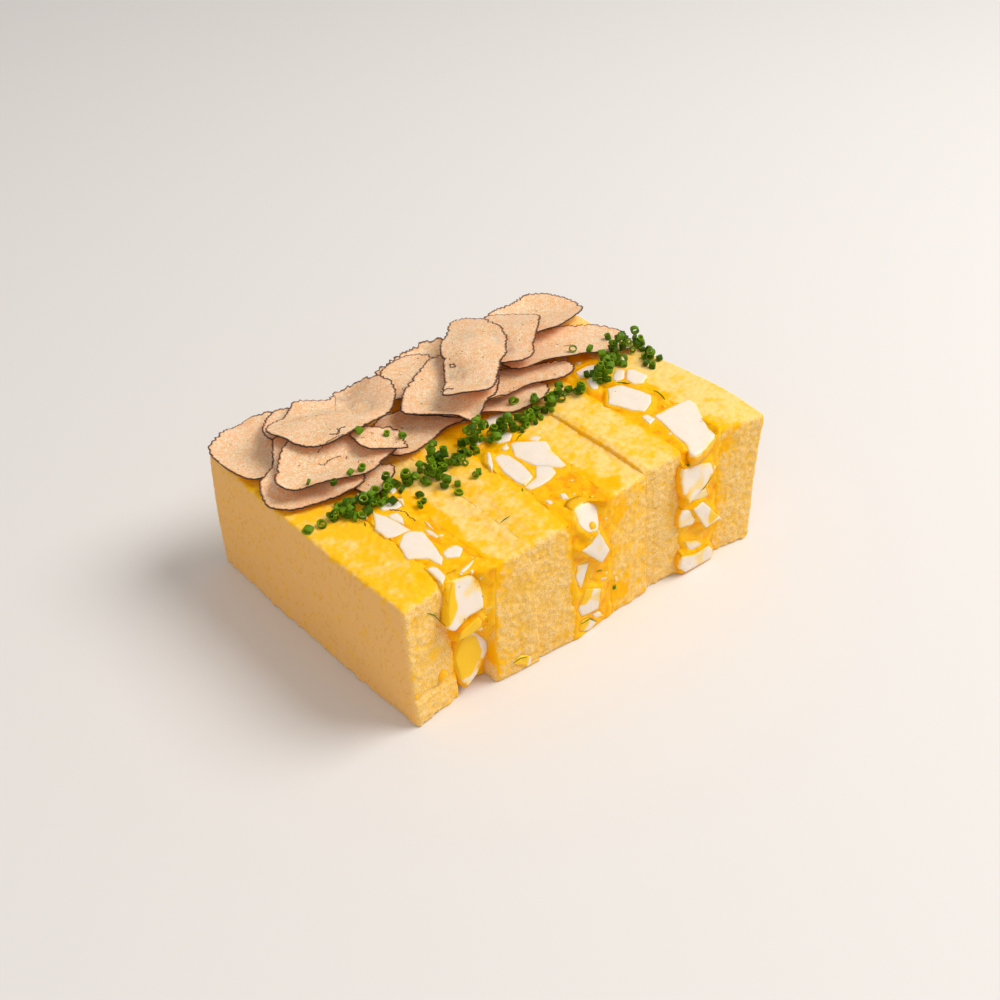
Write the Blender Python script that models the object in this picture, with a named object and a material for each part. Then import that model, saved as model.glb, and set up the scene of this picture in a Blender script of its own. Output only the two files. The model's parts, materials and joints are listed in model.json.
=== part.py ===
# An egg salad sandwich: three pairs of crustless milk-bread slices, each pair with chunky egg salad
# between, pushed together into one block, with shaved truffle laid over the back half.
# The slices stand on edge. X runs across them, Y along them, and the cut front ends face -Y.
# Lengths below are in millimetres; the meshes are made in metres, +Z up.

import math

import bmesh
import bpy
import numpy as np
from mathutils import Vector
from mathutils.bvhtree import BVHTree

MM = 0.001

# Bread: half of a square slice 100 mm wide, standing on its long cut
SLICE_LENGTH = 100.0
BLOCK_LEFT = -68.0            # foot of the first slice's outer face
BACK_DROP = 1.3               # how much lower the block is at the back
BLOCK_HEIGHT = 46.0           # on average
BREAD_ROUND = 1.5             # radius of the soft edges
BREAD_STEPS = (2, 8, 3)       # grid steps between the rounded edges, along x, y and z

# One row for each slice: thickness at the foot and at the top, how far the left face leans at the
# front, height, how far the front end is pushed in at its left and right edges, and how far its foot
# stands out below each of those edges
SLICES = {
    "bread_1": (17.5, 16.5, -2.0, 43.5, 0.6, 4.2, 0.7, 2.4),
    "bread_2": (15.5, 13.0, 0.2, 43.5, 0.3, -0.5, 1.6, 1.6),
    "bread_3": (15.1, 14.9, -2.3, 45.0, -0.5, -1.3, 0.6, 1.4),
    "bread_4": (15.7, 15.5, -2.5, 46.5, -0.7, 0.9, 1.0, 2.0),
    "bread_5": (15.4, 15.6, -2.7, 48.0, 0.9, -0.4, 0.0, 0.3),
    "bread_6": (16.5, 19.5, -3.0, 49.5, -0.5, -2.7, 0.2, 0.8),
}
SEAM = 0.4                    # between two sandwiches that are pushed together
OUTER_SPLAY = 2.7             # how far the first slice's outer face turns out at the back
OUTER_BOW = 0.9               # and how far it bulges halfway along

# Slow waves that all the block shares: how high, and how long in each direction
WAVE = 0.5
SWAY_LENGTHS = (94.0, 88.0)   # of x, along y and z
END_LENGTHS = (57.0, 75.0)    # of y, along x and z
TOP_LENGTHS = (41.0, 75.0)    # of z, along x and y
WAVE_STARTS = (0.7, 0.4)      # their phases at the origin

# Egg salad: its width at the foot, and the gap that it keeps to the bread
FILLING_GAP = 0.35
FILLING_ROUND = 1.6
FILLING_STEPS = (3, 15, 5)
END_SWELL = 0.7               # how far it stands out of the front and back ends, before its lumps
TOP_SWELL = 0.5
SPILL_SLOPE = 0.6             # how fast it spreads sideways once it is clear of the bread
SPILL_MOST = 3.0

TUCK_HEIGHT = 11.0            # up to here the foot of the front end may be drawn in,
TUCK_REACH = 20.0             # and over this length along the slices

# Lumps of egg: x, then y on the top or z on an end, half width, half length, and how far it stands out
LUMP_FLAT = 0.5               # share of a lump that is flat, and where its sides end
LUMP_END = 1.2
FILLINGS = {
    "filling_1": {
        "between": ("bread_1", "bread_2"), "width": 10.5, "tuck": 4.5,
        "top": ((-51.5, -18, 4, 7.5, 1.4), (-50.5, -33, 5, 8, 1.6), (-46, -12, 3, 3, 1.0),
                (-50, -47, 6, 5, 1.8)),
        "front": ((-51, 40, 5.5, 8.5, 2.8), (-50, 27, 5, 4, 1.8), (-50, 16, 6, 7, 2.4)),
    },
    "filling_2": {
        "between": ("bread_3", "bread_4"), "width": 15.0, "tuck": 0.0,
        "top": ((-1, -20, 5, 9, 2.0), (-7, -21, 3, 8, 1.4), (-2, -30, 3, 3, 1.0), (-9, -10, 3, 5, 1.0),
                (-7, -47, 5, 5, 2.0)),
        "front": ((-7, 44, 5, 7, 2.0), (-3, 31, 5.5, 6, 2.8), (-4, 11, 5, 6.5, 2.0), (-2, 2, 5, 3, 1.6)),
    },
    "filling_3": {
        "between": ("bread_5", "bread_6"), "width": 14.5, "tuck": 0.0,
        "top": ((42, -19, 6, 8, 1.8), (43, 2, 5, 4, 1.0), (42, -43, 8, 10, 2.8)),
        "front": ((40, 35, 7, 8, 2.8), (38, 21, 4, 4, 1.4), (46, 20, 5, 6, 2.0), (44, 5, 7, 6, 2.4)),
    },
}

# The back end has lumps like those at the front: their number, size and greatest rise, then the
# ranges, as shares, of their places up the end and across it, and of their rises
HIDDEN_LUMPS = 4
HIDDEN_LUMP_SIZE = 5.5
HIDDEN_LUMP_RISE = 2.2
HIDDEN_UP = (0.15, 0.9)
HIDDEN_ACROSS = (0.25, 0.75)
HIDDEN_RISES = (0.6, 1.0)

# Truffle: thin slices in the order in which they were laid down, each with its outline, how far its
# whole rim turns up, how far its near edge lifts, and the bearing of that edge
TRUFFLE_THICKNESS = 0.8
TRUFFLE_GAP = 0.3
TRUFFLE_SIDES = 18
TRUFFLE_RINGS = (0.38, 0.72, 1.0)
LIFTED_SHARE = 0.5            # the part of the slice, from its middle outwards, over which it lifts
DROOP = 0.25                  # how steeply an overhanging slice hangs down
MAP_CELL = 1.0                # cell of the height map on which the slices are laid
MAP_REACH = 6                 # cells: a sheet lies on the highest thing this near
MAP_BLUR = 2
CURVE_STEPS = 12              # along each stretch of an outline
NEAR = -130.0                 # bearing of the near side, in degrees from +X

TRUFFLES = (
    (((-35, 9), (-33, 4), (-39, -1), (-46, -4), (-48, 4), (-42, 10)), 0.3, 0.0, NEAR),
    (((-71, 48), (-65, 53), (-58, 56), (-48, 55), (-43, 48), (-46, 36), (-56, 29), (-68, 24), (-72, 35)),
     1.8, 0.0, NEAR),
    (((-30, 6), (-20, 6), (-11, 8), (-1, 6), (1, 10), (-8, 22), (-20, 28), (-33, 18)), 0.4, 0.6, NEAR),
    (((-42, 49), (-48, 49), (-54, 44), (-56, 37), (-51, 31), (-38, 26), (-30, 36)), 0.8, 0.8, -170),
    (((-9, 47), (-1, 50), (8, 52), (15, 52), (20, 46), (16, 36), (4, 36), (-6, 40)), 2.2, 0.0, NEAR),
    (((-12, 41), (-4, 46), (5, 46), (9, 40), (5, 33), (-7, 28), (-15, 30)), 0.6, 0.4, NEAR),
    (((-15, 20), (-10, 13), (-4, 6), (3, 4), (13, -1), (20, -2), (27, 2), (29, 7), (20, 14), (2, 20)),
     0.3, 0.6, -100),
    (((4, 4), (12, 5), (22, 6), (30, 3), (38, 2), (40, 8), (30, 16), (18, 21), (6, 14)), 0.4, 2.8, -105),
    (((62, 24), (68, 18), (69, 10), (64, 0), (52, 4), (40, 6), (32, 10), (23, 12), (26, 24), (44, 30)),
     0.4, 1.6, -110),
    (((32, 46), (42, 50), (52, 50), (62, 51), (68, 44), (70, 35), (65, 27), (56, 24), (44, 23), (34, 30)),
     1.6, 1.0, -80),
    (((34, 47), (42, 45), (48, 38), (49, 31), (42, 24), (33, 16), (27, 11), (18, 17), (19, 30), (25, 42)),
     0.5, 1.0, NEAR),
    (((-18, 20), (-11, 28), (-2, 33), (8, 37), (17, 30), (15, 14), (7, 4), (-5, -1), (-10, 7), (-16, 14)),
     0.4, 2.6, -125),
    (((9, 35), (16, 42), (26, 49), (31, 45), (32, 35), (29, 25), (21, 16), (12, 9), (3, 2), (-8, 10),
      (-2, 19), (4, 27)), 0.5, 1.0, NEAR),
    (((-54, 35), (-61, 27), (-70, 20), (-72, 13), (-69, 6), (-61, 4), (-48, 1), (-42, 8), (-42, 24)),
     0.3, 0.8, -120),
    (((-51, 30), (-61, 23), (-67, 15), (-66, 10), (-57, 6), (-44, 3), (-34, 6), (-27, 9), (-30, 20),
      (-40, 28)), 0.4, 2.0, -125),
    (((-39, 11), (-33, 7), (-28, 4), (-26, 9), (-25, 14), (-29, 18), (-38, 19)), 0.4, 0.6, NEAR),
    (((-56, 38), (-49, 41), (-39, 48), (-31, 46), (-22, 49), (-14, 42), (-13, 30), (-24, 19), (-39, 16),
      (-51, 18), (-56, 27)), 0.6, 0.3, -115),
)

SHARP_ANGLE = 40.0            # degrees: steeper edges are shaded sharp

# Colours: base colour and roughness
CRUMB = ((0.90, 0.62, 0.21), 0.85)
SALAD = ((0.95, 0.58, 0.08), 0.45)
TRUFFLE = ((0.86, 0.58, 0.33), 0.60)


def clear_scene():
    for old in list(bpy.data.objects):
        bpy.data.objects.remove(old, do_unlink=True)


def mix(a, b, share):
    return a + (b - a) * share


def smooth(share):
    share = min(max(share, 0.0), 1.0)
    return share * share * (3.0 - 2.0 * share)


def material(name, colour, roughness):
    made = bpy.data.materials.new(name)
    made.use_nodes = True
    shader = made.node_tree.nodes["Principled BSDF"]
    shader.inputs["Base Color"].default_value = (*colour, 1.0)
    shader.inputs["Roughness"].default_value = roughness
    shader.inputs["Metallic"].default_value = 0.0
    return made


def add_piece(name, points, faces, finish, parent):
    """Makes one closed piece from points in millimetres."""
    mesh = bpy.data.meshes.new(name)
    mesh.from_pydata([Vector(point) * MM for point in points], [], faces)
    shell = bmesh.new()
    shell.from_mesh(mesh)
    bmesh.ops.recalc_face_normals(shell, faces=shell.faces)
    bmesh.ops.triangulate(shell, faces=shell.faces)
    shell.to_mesh(mesh)
    shell.free()
    mesh.materials.append(material(name, *finish))
    mesh.shade_smooth()
    mesh.set_sharp_from_angle(angle=math.radians(SHARP_ANGLE))
    piece = bpy.data.objects.new(name, mesh)
    piece.parent = parent
    bpy.context.scene.collection.objects.link(piece)
    return piece


# Soft boxes: a lattice over a box whose edges are rounded, in shares of the box's sides

def lattice_lines(length, rounding, steps):
    edge = rounding / length
    return [0.0, *np.linspace(edge, 1.0 - edge, steps + 1), 1.0]


def soft_box(size, rounding, steps):
    """Points, as shares of the box from 0 to 1, and quads of a box with rounded edges."""
    lines = [lattice_lines(length, rounding, count) for length, count in zip(size, steps)]
    last = [len(line) - 1 for line in lines]
    index = {}
    points = []

    def rounded(corner):
        point = np.array([line[at] for line, at in zip(lines, corner)]) * size
        inner = np.clip(point, rounding, np.array(size) - rounding)
        out = point - inner
        reach = np.linalg.norm(out)
        return (inner + out * (rounding / reach)) / size

    def number(corner):
        if corner not in index:
            index[corner] = len(points)
            points.append(rounded(corner))
        return index[corner]

    quads = []
    for axis in range(3):
        one, two = [other for other in range(3) if other != axis]
        for end in (0, last[axis]):
            for i in range(last[one]):
                for j in range(last[two]):
                    ring = []
                    for di, dj in ((0, 0), (1, 0), (1, 1), (0, 1)):
                        corner = [0, 0, 0]
                        corner[axis], corner[one], corner[two] = end, i + di, j + dj
                        ring.append(number(tuple(corner)))
                    quads.append(ring)
    return points, quads


# Bread

def front_share(y):
    """1 at the front end of the block, 0 at the back end."""
    return 0.5 - y / SLICE_LENGTH


def bread_rows():
    """Where each slice's faces stand, worked out from the thicknesses in turn."""
    widths = {filling["between"][0]: filling["width"] for filling in FILLINGS.values()}
    rows = {}
    left = BLOCK_LEFT
    for name, (foot, top, lean, height, *ends) in SLICES.items():
        rows[name] = {
            "foot": (left, left + foot),
            "top": (left + lean, left + lean + top),
            "height": height,
            "push": ends[:2],
            "toe": ends[2:],
            "outer": not rows,
        }
        left += foot + widths.get(name, SEAM)
    return rows


def bread_height(row, y):
    return row["height"] - BACK_DROP * (1.0 - front_share(y))


def face_x(row, side, y, z):
    """x of a slice's left (0) or right (1) face: upright at the back, leaning at the front."""
    front = front_share(y)
    lean = (row["top"][side] - row["foot"][side]) * front * z / row["height"]
    splay = OUTER_SPLAY * (1.0 - front) + OUTER_BOW * math.sin(math.pi * min(max(front, 0.0), 1.0))
    return row["foot"][side] + lean - (splay if row["outer"] and side == 0 else 0.0)


def front_y(row, across, z):
    low = 1.0 - z / row["height"]
    edges = [push - toe * low for push, toe in zip(row["push"], row["toe"])]
    return -SLICE_LENGTH / 2 + mix(*edges, across)


def wave(lengths, *place):
    return WAVE * math.prod(
        math.sin(math.tau * along / length + start)
        for along, length, start in zip(place, lengths, WAVE_STARTS)
    )


def shared_wave(x, y, z):
    """Moves a point by the waves of the block, so that neighbours stay parallel and clear."""
    lift = z / BLOCK_HEIGHT
    return (x + wave(SWAY_LENGTHS, y, z), y + wave(END_LENGTHS, x, z), z + wave(TOP_LENGTHS, x, y) * lift)


def make_bread(name, row, parent):
    size = (row["foot"][1] - row["foot"][0], SLICE_LENGTH, row["height"])
    shares, quads = soft_box(size, BREAD_ROUND, BREAD_STEPS)
    points = []
    for across, along, up in shares:
        y = mix(front_y(row, across, up * row["height"]), SLICE_LENGTH / 2, along)
        z = up * bread_height(row, y)
        x = mix(face_x(row, 0, y, z), face_x(row, 1, y, z), across)
        points.append(shared_wave(x, y, z))
    return add_piece(name, points, quads, CRUMB, parent)


# Egg salad

def lump_rise(lumps, x, other):
    """How far the lumps stand out at one place: flat-topped, with soft sides."""
    rise = 0.0
    for at_x, at_other, half_x, half_other, height in lumps:
        away = math.hypot((x - at_x) / half_x, (other - at_other) / half_other)
        rise = max(rise, height * (1.0 - smooth((away - LUMP_FLAT) / (LUMP_END - LUMP_FLAT))))
    return rise


def back_lumps(between, order):
    """Lumps of the back end, spread up its height by a seeded draw."""
    draw = np.random.default_rng(order)
    left, right = between[0]["foot"][1], between[1]["foot"][0]
    rungs = np.linspace(*HIDDEN_UP, HIDDEN_LUMPS) * between[0]["height"]
    return [
        (mix(left, right, draw.uniform(*HIDDEN_ACROSS)), rung, HIDDEN_LUMP_SIZE,
         HIDDEN_LUMP_SIZE, HIDDEN_LUMP_RISE * draw.uniform(*HIDDEN_RISES))
        for rung in rungs
    ]


def spill(clear_by):
    return min(SPILL_MOST, SPILL_SLOPE * max(0.0, clear_by))


def make_filling(order, name, filling, rows, parent):
    between = [rows[slice_name] for slice_name in filling["between"]]
    height = (between[0]["height"] + between[1]["height"]) / 2
    behind = back_lumps(between, order)
    size = (filling["width"] - 2 * FILLING_GAP, SLICE_LENGTH + 2 * END_SWELL, height)
    shares, quads = soft_box(size, FILLING_ROUND, FILLING_STEPS)
    points = []
    for across, along, up in shares:
        ends = [front_y(between[0], 1.0, up * height), front_y(between[1], 0.0, up * height)]
        y = mix(sum(ends) / 2 - END_SWELL, SLICE_LENGTH / 2 + END_SWELL, along)
        tall = mix(bread_height(between[0], y), bread_height(between[1], y), across) + TOP_SWELL
        z = mix(FILLING_GAP, tall, up)
        sides = [face_x(between[0], 1, y, z) + FILLING_GAP, face_x(between[1], 0, y, z) - FILLING_GAP]
        x = mix(*sides, across)
        tuck = filling["tuck"] * (1.0 - smooth(z / TUCK_HEIGHT))
        y += tuck * (1.0 - smooth(along * size[1] / TUCK_REACH))
        y -= lump_rise(filling["front"], x, z) * smooth(1.0 - along * size[1] / FILLING_ROUND)
        y += lump_rise(behind, x, z) * smooth(1.0 - (1.0 - along) * size[1] / FILLING_ROUND)
        z += lump_rise(filling["top"], x, y) * smooth(1.0 - (1.0 - up) * size[2] / FILLING_ROUND)
        for side, row in enumerate(between):
            clear_front = ends[side] - FILLING_GAP - y
            clear_back = y - SLICE_LENGTH / 2 - FILLING_GAP
            clear_top = z - bread_height(row, y) - FILLING_GAP
            sides[side] += (2 * side - 1) * spill(max(clear_front, clear_back, clear_top))
        points.append(shared_wave(mix(*sides, across), y, z))
    return add_piece(name, points, quads, SALAD, parent)


# Truffle

class HeightMap:
    """The height of whatever lies highest, on a square grid over the block."""

    def __init__(self, reach_x, reach_y):
        self.xs = np.arange(-reach_x, reach_x + MAP_CELL, MAP_CELL)
        self.ys = np.arange(-reach_y, reach_y + MAP_CELL, MAP_CELL)
        self.z = np.full((len(self.xs), len(self.ys)), np.nan)

    def add(self, piece):
        """Raises the map to the top of one piece."""
        points = [vertex.co / MM for vertex in piece.data.vertices]
        tree = BVHTree.FromPolygons(points, [tuple(face.vertices) for face in piece.data.polygons])
        low = np.min(points, axis=0)
        high = np.max(points, axis=0)
        for i in np.nonzero((self.xs >= low[0]) & (self.xs <= high[0]))[0]:
            for j in np.nonzero((self.ys >= low[1]) & (self.ys <= high[1]))[0]:
                hit = tree.ray_cast((self.xs[i], self.ys[j], high[2] + 1.0), (0, 0, -1))
                if hit[0] is not None:
                    self.z[i, j] = np.nanmax((self.z[i, j], hit[0].z))

    def hang_edges(self):
        """Outside the block, the map falls away from the nearest height."""
        for _ in range(max(self.z.shape)):
            empty = np.isnan(self.z)
            if not empty.any():
                return
            around = np.stack([np.roll(self.z, shift, axis) for axis in (0, 1) for shift in (1, -1)])
            best = np.where(np.isnan(around), -np.inf, around).max(axis=0)
            found = empty & np.isfinite(best)
            self.z[found] = best[found] - DROOP * MAP_CELL

    def bed(self):
        """The smooth surface on which a sheet would lie, never below the map."""
        bed = self.z
        for axis in (0, 1):
            bed = np.max([np.roll(bed, shift, axis) for shift in range(-MAP_REACH, MAP_REACH + 1)], axis=0)
        for axis in (0, 1):
            bed = np.mean([np.roll(bed, shift, axis) for shift in range(-MAP_BLUR, MAP_BLUR + 1)], axis=0)
        return bed

    def read(self, bed, x, y):
        """Height of the bed at any place, between its grid points."""
        i = (x - self.xs[0]) / MAP_CELL
        j = (y - self.ys[0]) / MAP_CELL
        i0, j0 = int(i), int(j)
        row = mix(bed[i0, j0], bed[i0 + 1, j0], i - i0)
        next_row = mix(bed[i0, j0 + 1], bed[i0 + 1, j0 + 1], i - i0)
        return mix(row, next_row, j - j0)


def closed_curve(corners, count):
    """Evenly spaced places on the smooth closed curve through the corners."""
    corners = np.array(corners, float)
    before, after, next_after = (np.roll(corners, -shift, axis=0) for shift in (-1, 1, 2))
    curve = []
    for a, b, c, d in zip(before, corners, after, next_after):
        for t in np.linspace(0.0, 1.0, CURVE_STEPS, endpoint=False):
            curve.append(0.5 * (2 * b + (c - a) * t + (2 * a - 5 * b + 4 * c - d) * t ** 2
                                + (3 * b - a - 3 * c + d) * t ** 3))
    curve = np.array(curve + [curve[0]])
    walked = np.concatenate([[0.0], np.cumsum(np.linalg.norm(np.diff(curve, axis=0), axis=1))])
    stops = np.linspace(0.0, walked[-1], count, endpoint=False)
    return np.stack([np.interp(stops, walked, curve[:, axis]) for axis in (0, 1)], axis=1)


def make_truffle(name, row, heights, parent):
    corners, cup, lift, bearing = row
    rim = closed_curve(corners, TRUFFLE_SIDES)
    centre = rim.mean(axis=0)
    spokes = rim - centre
    toward = np.array([math.cos(math.radians(bearing)), math.sin(math.radians(bearing))])
    reach = max(spokes @ toward)
    bed = heights.bed()
    places = [centre] + [centre + spoke * ring for ring in TRUFFLE_RINGS for spoke in spokes]
    rings = [0.0] + [ring for ring in TRUFFLE_RINGS for _ in spokes]
    under = []
    for place, ring in zip(places, rings):
        near = ((place - centre) @ toward / reach - 1.0 + LIFTED_SHARE) / LIFTED_SHARE
        raised = cup * ring ** 3 + lift * smooth(near) + TRUFFLE_GAP
        under.append((*place, heights.read(bed, *place) + raised))
    over = [(x, y, z + TRUFFLE_THICKNESS) for x, y, z in under]

    count = len(under)
    faces = []
    for i in range(TRUFFLE_SIDES):
        j = (i + 1) % TRUFFLE_SIDES
        faces += [(0, 1 + j, 1 + i), (count, count + 1 + i, count + 1 + j)]
        for ring in range(len(TRUFFLE_RINGS) - 1):
            inner = 1 + ring * TRUFFLE_SIDES
            outer = inner + TRUFFLE_SIDES
            faces.append((inner + i, inner + j, outer + j, outer + i))
            faces.append((count + inner + i, count + outer + i, count + outer + j, count + inner + j))
        last = 1 + (len(TRUFFLE_RINGS) - 1) * TRUFFLE_SIDES
        faces.append((last + i, last + j, count + last + j, count + last + i))
    piece = add_piece(name, under + over, faces, TRUFFLE, parent)
    heights.add(piece)
    return piece


def centre_on_origin(root, pieces):
    """Moves the whole sandwich so that its origin is the bottom centre of its box."""
    points = np.array([vertex.co for piece in pieces for vertex in piece.data.vertices])
    low, high = points.min(axis=0), points.max(axis=0)
    root.location = (-(low[0] + high[0]) / 2, -(low[1] + high[1]) / 2, -low[2])


def build():
    clear_scene()
    root = bpy.data.objects.new("sandwich", None)
    bpy.context.scene.collection.objects.link(root)
    rows = bread_rows()
    pieces = [make_bread(name, row, root) for name, row in rows.items()]
    for order, (name, filling) in enumerate(FILLINGS.items(), start=1):
        pieces.append(make_filling(order, name, filling, rows, root))
    heights = HeightMap(reach_x=85.0, reach_y=68.0)
    for piece in pieces:
        heights.add(piece)
    heights.hang_edges()
    for order, row in enumerate(TRUFFLES, start=1):
        pieces.append(make_truffle(f"truffle_{order:02d}", row, heights, root))
    centre_on_origin(root, pieces)


build()
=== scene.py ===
# The looks of an egg salad sandwich: torn milk bread, glossy egg salad with cut egg white, shaved
# truffle with a dark rim, and cut chives. Lengths are in millimetres and places are measured from the
# middle of the block, unless they say otherwise. The slices' cut ends face -Y.

import json
import math
from itertools import product

import bmesh
import bpy
import numpy as np
from mathutils import Matrix, Vector
from mathutils.bvhtree import BVHTree
from mathutils.geometry import delaunay_2d_cdt

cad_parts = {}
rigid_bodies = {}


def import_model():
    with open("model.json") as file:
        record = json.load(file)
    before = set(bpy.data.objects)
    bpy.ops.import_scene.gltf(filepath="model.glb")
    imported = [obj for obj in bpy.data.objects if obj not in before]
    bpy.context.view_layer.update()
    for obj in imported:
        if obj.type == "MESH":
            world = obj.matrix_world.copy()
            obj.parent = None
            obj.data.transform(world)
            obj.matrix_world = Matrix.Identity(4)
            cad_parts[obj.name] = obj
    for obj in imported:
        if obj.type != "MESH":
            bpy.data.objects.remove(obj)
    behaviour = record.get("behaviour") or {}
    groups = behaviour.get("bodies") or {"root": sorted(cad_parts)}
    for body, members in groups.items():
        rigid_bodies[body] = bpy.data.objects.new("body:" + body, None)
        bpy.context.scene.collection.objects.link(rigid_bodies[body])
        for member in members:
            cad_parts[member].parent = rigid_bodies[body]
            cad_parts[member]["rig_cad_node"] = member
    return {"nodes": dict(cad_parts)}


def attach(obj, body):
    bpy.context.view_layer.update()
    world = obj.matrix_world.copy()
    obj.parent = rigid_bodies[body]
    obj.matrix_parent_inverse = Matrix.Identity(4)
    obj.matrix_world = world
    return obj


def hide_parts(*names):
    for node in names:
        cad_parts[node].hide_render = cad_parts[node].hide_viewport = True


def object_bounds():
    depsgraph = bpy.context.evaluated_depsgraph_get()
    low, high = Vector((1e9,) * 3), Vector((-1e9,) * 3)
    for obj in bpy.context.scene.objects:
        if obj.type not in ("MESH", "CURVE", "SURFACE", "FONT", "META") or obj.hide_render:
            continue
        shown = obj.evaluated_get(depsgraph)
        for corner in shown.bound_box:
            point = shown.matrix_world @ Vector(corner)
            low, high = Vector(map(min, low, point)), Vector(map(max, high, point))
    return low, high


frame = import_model()
cad_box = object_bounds()

MM = 0.001
MIDDLE = np.array([1.039, -0.749, 0.0])   # of the block, measured from the frame's origin
SEED = 7
TINY = 1e-9

# Camera
CAMERA_PLACE = (-213.0, -259.9, 270.7)
CAMERA_AIM = (18.5, 16.4, 0.0)
CAMERA_ROLL = math.radians(-0.44)
CAMERA_LENS = 46.8

# Light: each lamp's place, power, width and colour, in metres here
LIGHTS = {"key": ((0.75, -0.45, 1.15), 17.3, 0.95, (1.0, 0.98, 0.95)),
          "fill": ((-0.9, -0.7, 0.9), 3.2, 1.2, (1.0, 0.97, 0.93))}
LIGHT_AIM = (0, 0, 0.02)
SKY = (1.0, 0.97, 0.94)
SKY_STRENGTH = 0.45

# Noise: the factors that make a number of each cell, and what brings its height to 1
AXIS_FACTORS = (73856093, 19349663, 83492791)
SEED_FACTOR = 2654435
KEY_FACTOR = 1274126177
NOISE_HEIGHT = 1.8

# Bread: its cells, the radius of its edges, and the sides that nothing covers
SLICES = ("bread_1", "bread_2", "bread_3", "bread_4", "bread_5", "bread_6")
END = 50.0                                # how far the cut ends are from the middle of the block
CRUMB_CELL = (0.43, 0.43, 0.41)
FACE_CELL = (0.43, 0.36, 0.41)            # where a slice's broad face shows
HIDDEN_STRIP = 6                          # cells kept along the edges of a covered side
DEEP_STRIP = {"bread_1": 14, "bread_2": 14}
FOOT_STRIP = 4
EDGE_ROUND = 1.6
FOOT_ROUND = 0.6
WET_ROUND = 1.0                           # beside a filling
SEAM_ROUND = {"bread_2": 0.25, "bread_3": 0.25, "bread_4": 0.3, "bread_5": 0.5}   # where two slices touch
SEAM_REACH = 0.8                          # how far they run into each other there
# The slice that each slice touches, the share of the step between their tops that it takes up, and over
# what width
SEAMS = {"bread_2": ("bread_3", 0.5, 7.0), "bread_3": ("bread_2", 0.5, 7.0),
         "bread_4": ("bread_5", 0.2, 4.0), "bread_5": ("bread_4", 0.35, 2.5)}
OUTER_SIDE = {"bread_1": 0, "bread_6": 1}
WET_SIDE = {"bread_1": 1, "bread_2": 0, "bread_3": 1, "bread_4": 0, "bread_5": 1, "bread_6": 0}
# How much yolk has soaked into the tops and into the cut ends
SOAKED = {"bread_1": (0.84, 0.13), "bread_2": (0.36, 0.10), "bread_3": (0.62, 0.02),
          "bread_4": (0.48, 0.33), "bread_5": (0.40, -0.03), "bread_6": (0.22, 0.13)}

# Sauce soaked into the bread: middle and reach of each patch
SMEARS = {
    "bread_1": (((-53.5, -48, 41), (2.6, 4, 4)), ((-52.5, -50, 31), (1.8, 3, 5)),
                ((-57.4, -50, 12.3), (2.2, 3, 2.2)), ((-57, -40, 43.5), (1.6, 3, 2))),
    "bread_2": (((-37.5, -16, 43), (4.6, 9, 2)), ((-37, -27, 43), (3.6, 8, 2)),
                ((-39, -40, 43), (1.8, 9, 2)), ((-39, -50, 40), (5.5, 4.5, 9)),
                ((-40.5, -51, 28), (2.0, 3, 12)), ((-40, -50, 12), (1.0, 6, 9)),
                ((-30.5, -52, 3), (2.4, 2, 1.8))),
    "bread_3": (((-10.5, -35, 45), (1.8, 12, 2)), ((-10.5, -52, 36), (1.8, 3, 9)),
                ((-9.6, -52, 18), (1.0, 3, 14))),
    "bread_4": (((6, -35, 46.5), (3.4, 9, 2)), ((8, -46, 46), (5, 4.5, 2.5)),
                ((7.5, -51, 40.5), (9, 3, 6.5)), ((9, -51, 7), (7, 3, 6)),
                ((5, -51, 24), (1.3, 3, 14))),
    "bread_5": (((36.5, -43, 48), (1.6, 8, 2)), ((36.5, -14, 48), (2.4, 8, 2)),
                ((37, -50.5, 22), (1.2, 3, 22)), ((36, -50, 44), (2, 3, 5))),
    "bread_6": (((51.5, -20, 49.5), (3.2, 9, 2)), ((52, -36, 49.5), (2.2, 6, 2)),
                ((53.5, -51.5, 50.5), (6.5, 7, 5.5)), ((52.8, -53, 45.5), (4.4, 4, 8.5)),
                ((51.2, -53, 26), (1.0, 3, 14))),
}
LEDGE_HEIGHT = 9.5                        # of the crack across the first slice's cut end
FOOT_REACH = 2.5                          # how far up the foot of the slices is uneven
PORES = 320                               # in each slice
SLITS = 420                               # in a broad face that shows

# Egg salad
CORE_OVERLAP = 1.8                        # how far its sides run into the bread
CORE_CELL = (0.46, 0.50, 0.50)
CORE_STRIP = 5
CORE_ROUND = ((0.3, 0.9, 0.8), (0.3, 0.9, 0.9))   # at the low and at the high end of x, y and z
FILLING_LEVEL = 44.0                      # near the top, where a filling's width is read
FILLINGS = {"filling_1": ("bread_1", "bread_2"), "filling_2": ("bread_3", "bread_4"),
            "filling_3": ("bread_5", "bread_6")}
TUCKS = {"filling_1": 5.5}                # how far the foot of the front end is drawn in
TUCK_HEIGHT = 26.0
TUCK_REACH = 20.0
SAUCE_BELOW = 0.3                         # how far under an egg piece's face the sauce ends
MENISCUS = 2.2                            # how far from the piece it starts to climb
NOTCH = 0.9                               # and to drop, where it stands higher than the piece
NOTCH_SLOPE = 0.35                        # and how much further, for each mm that it drops

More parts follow.
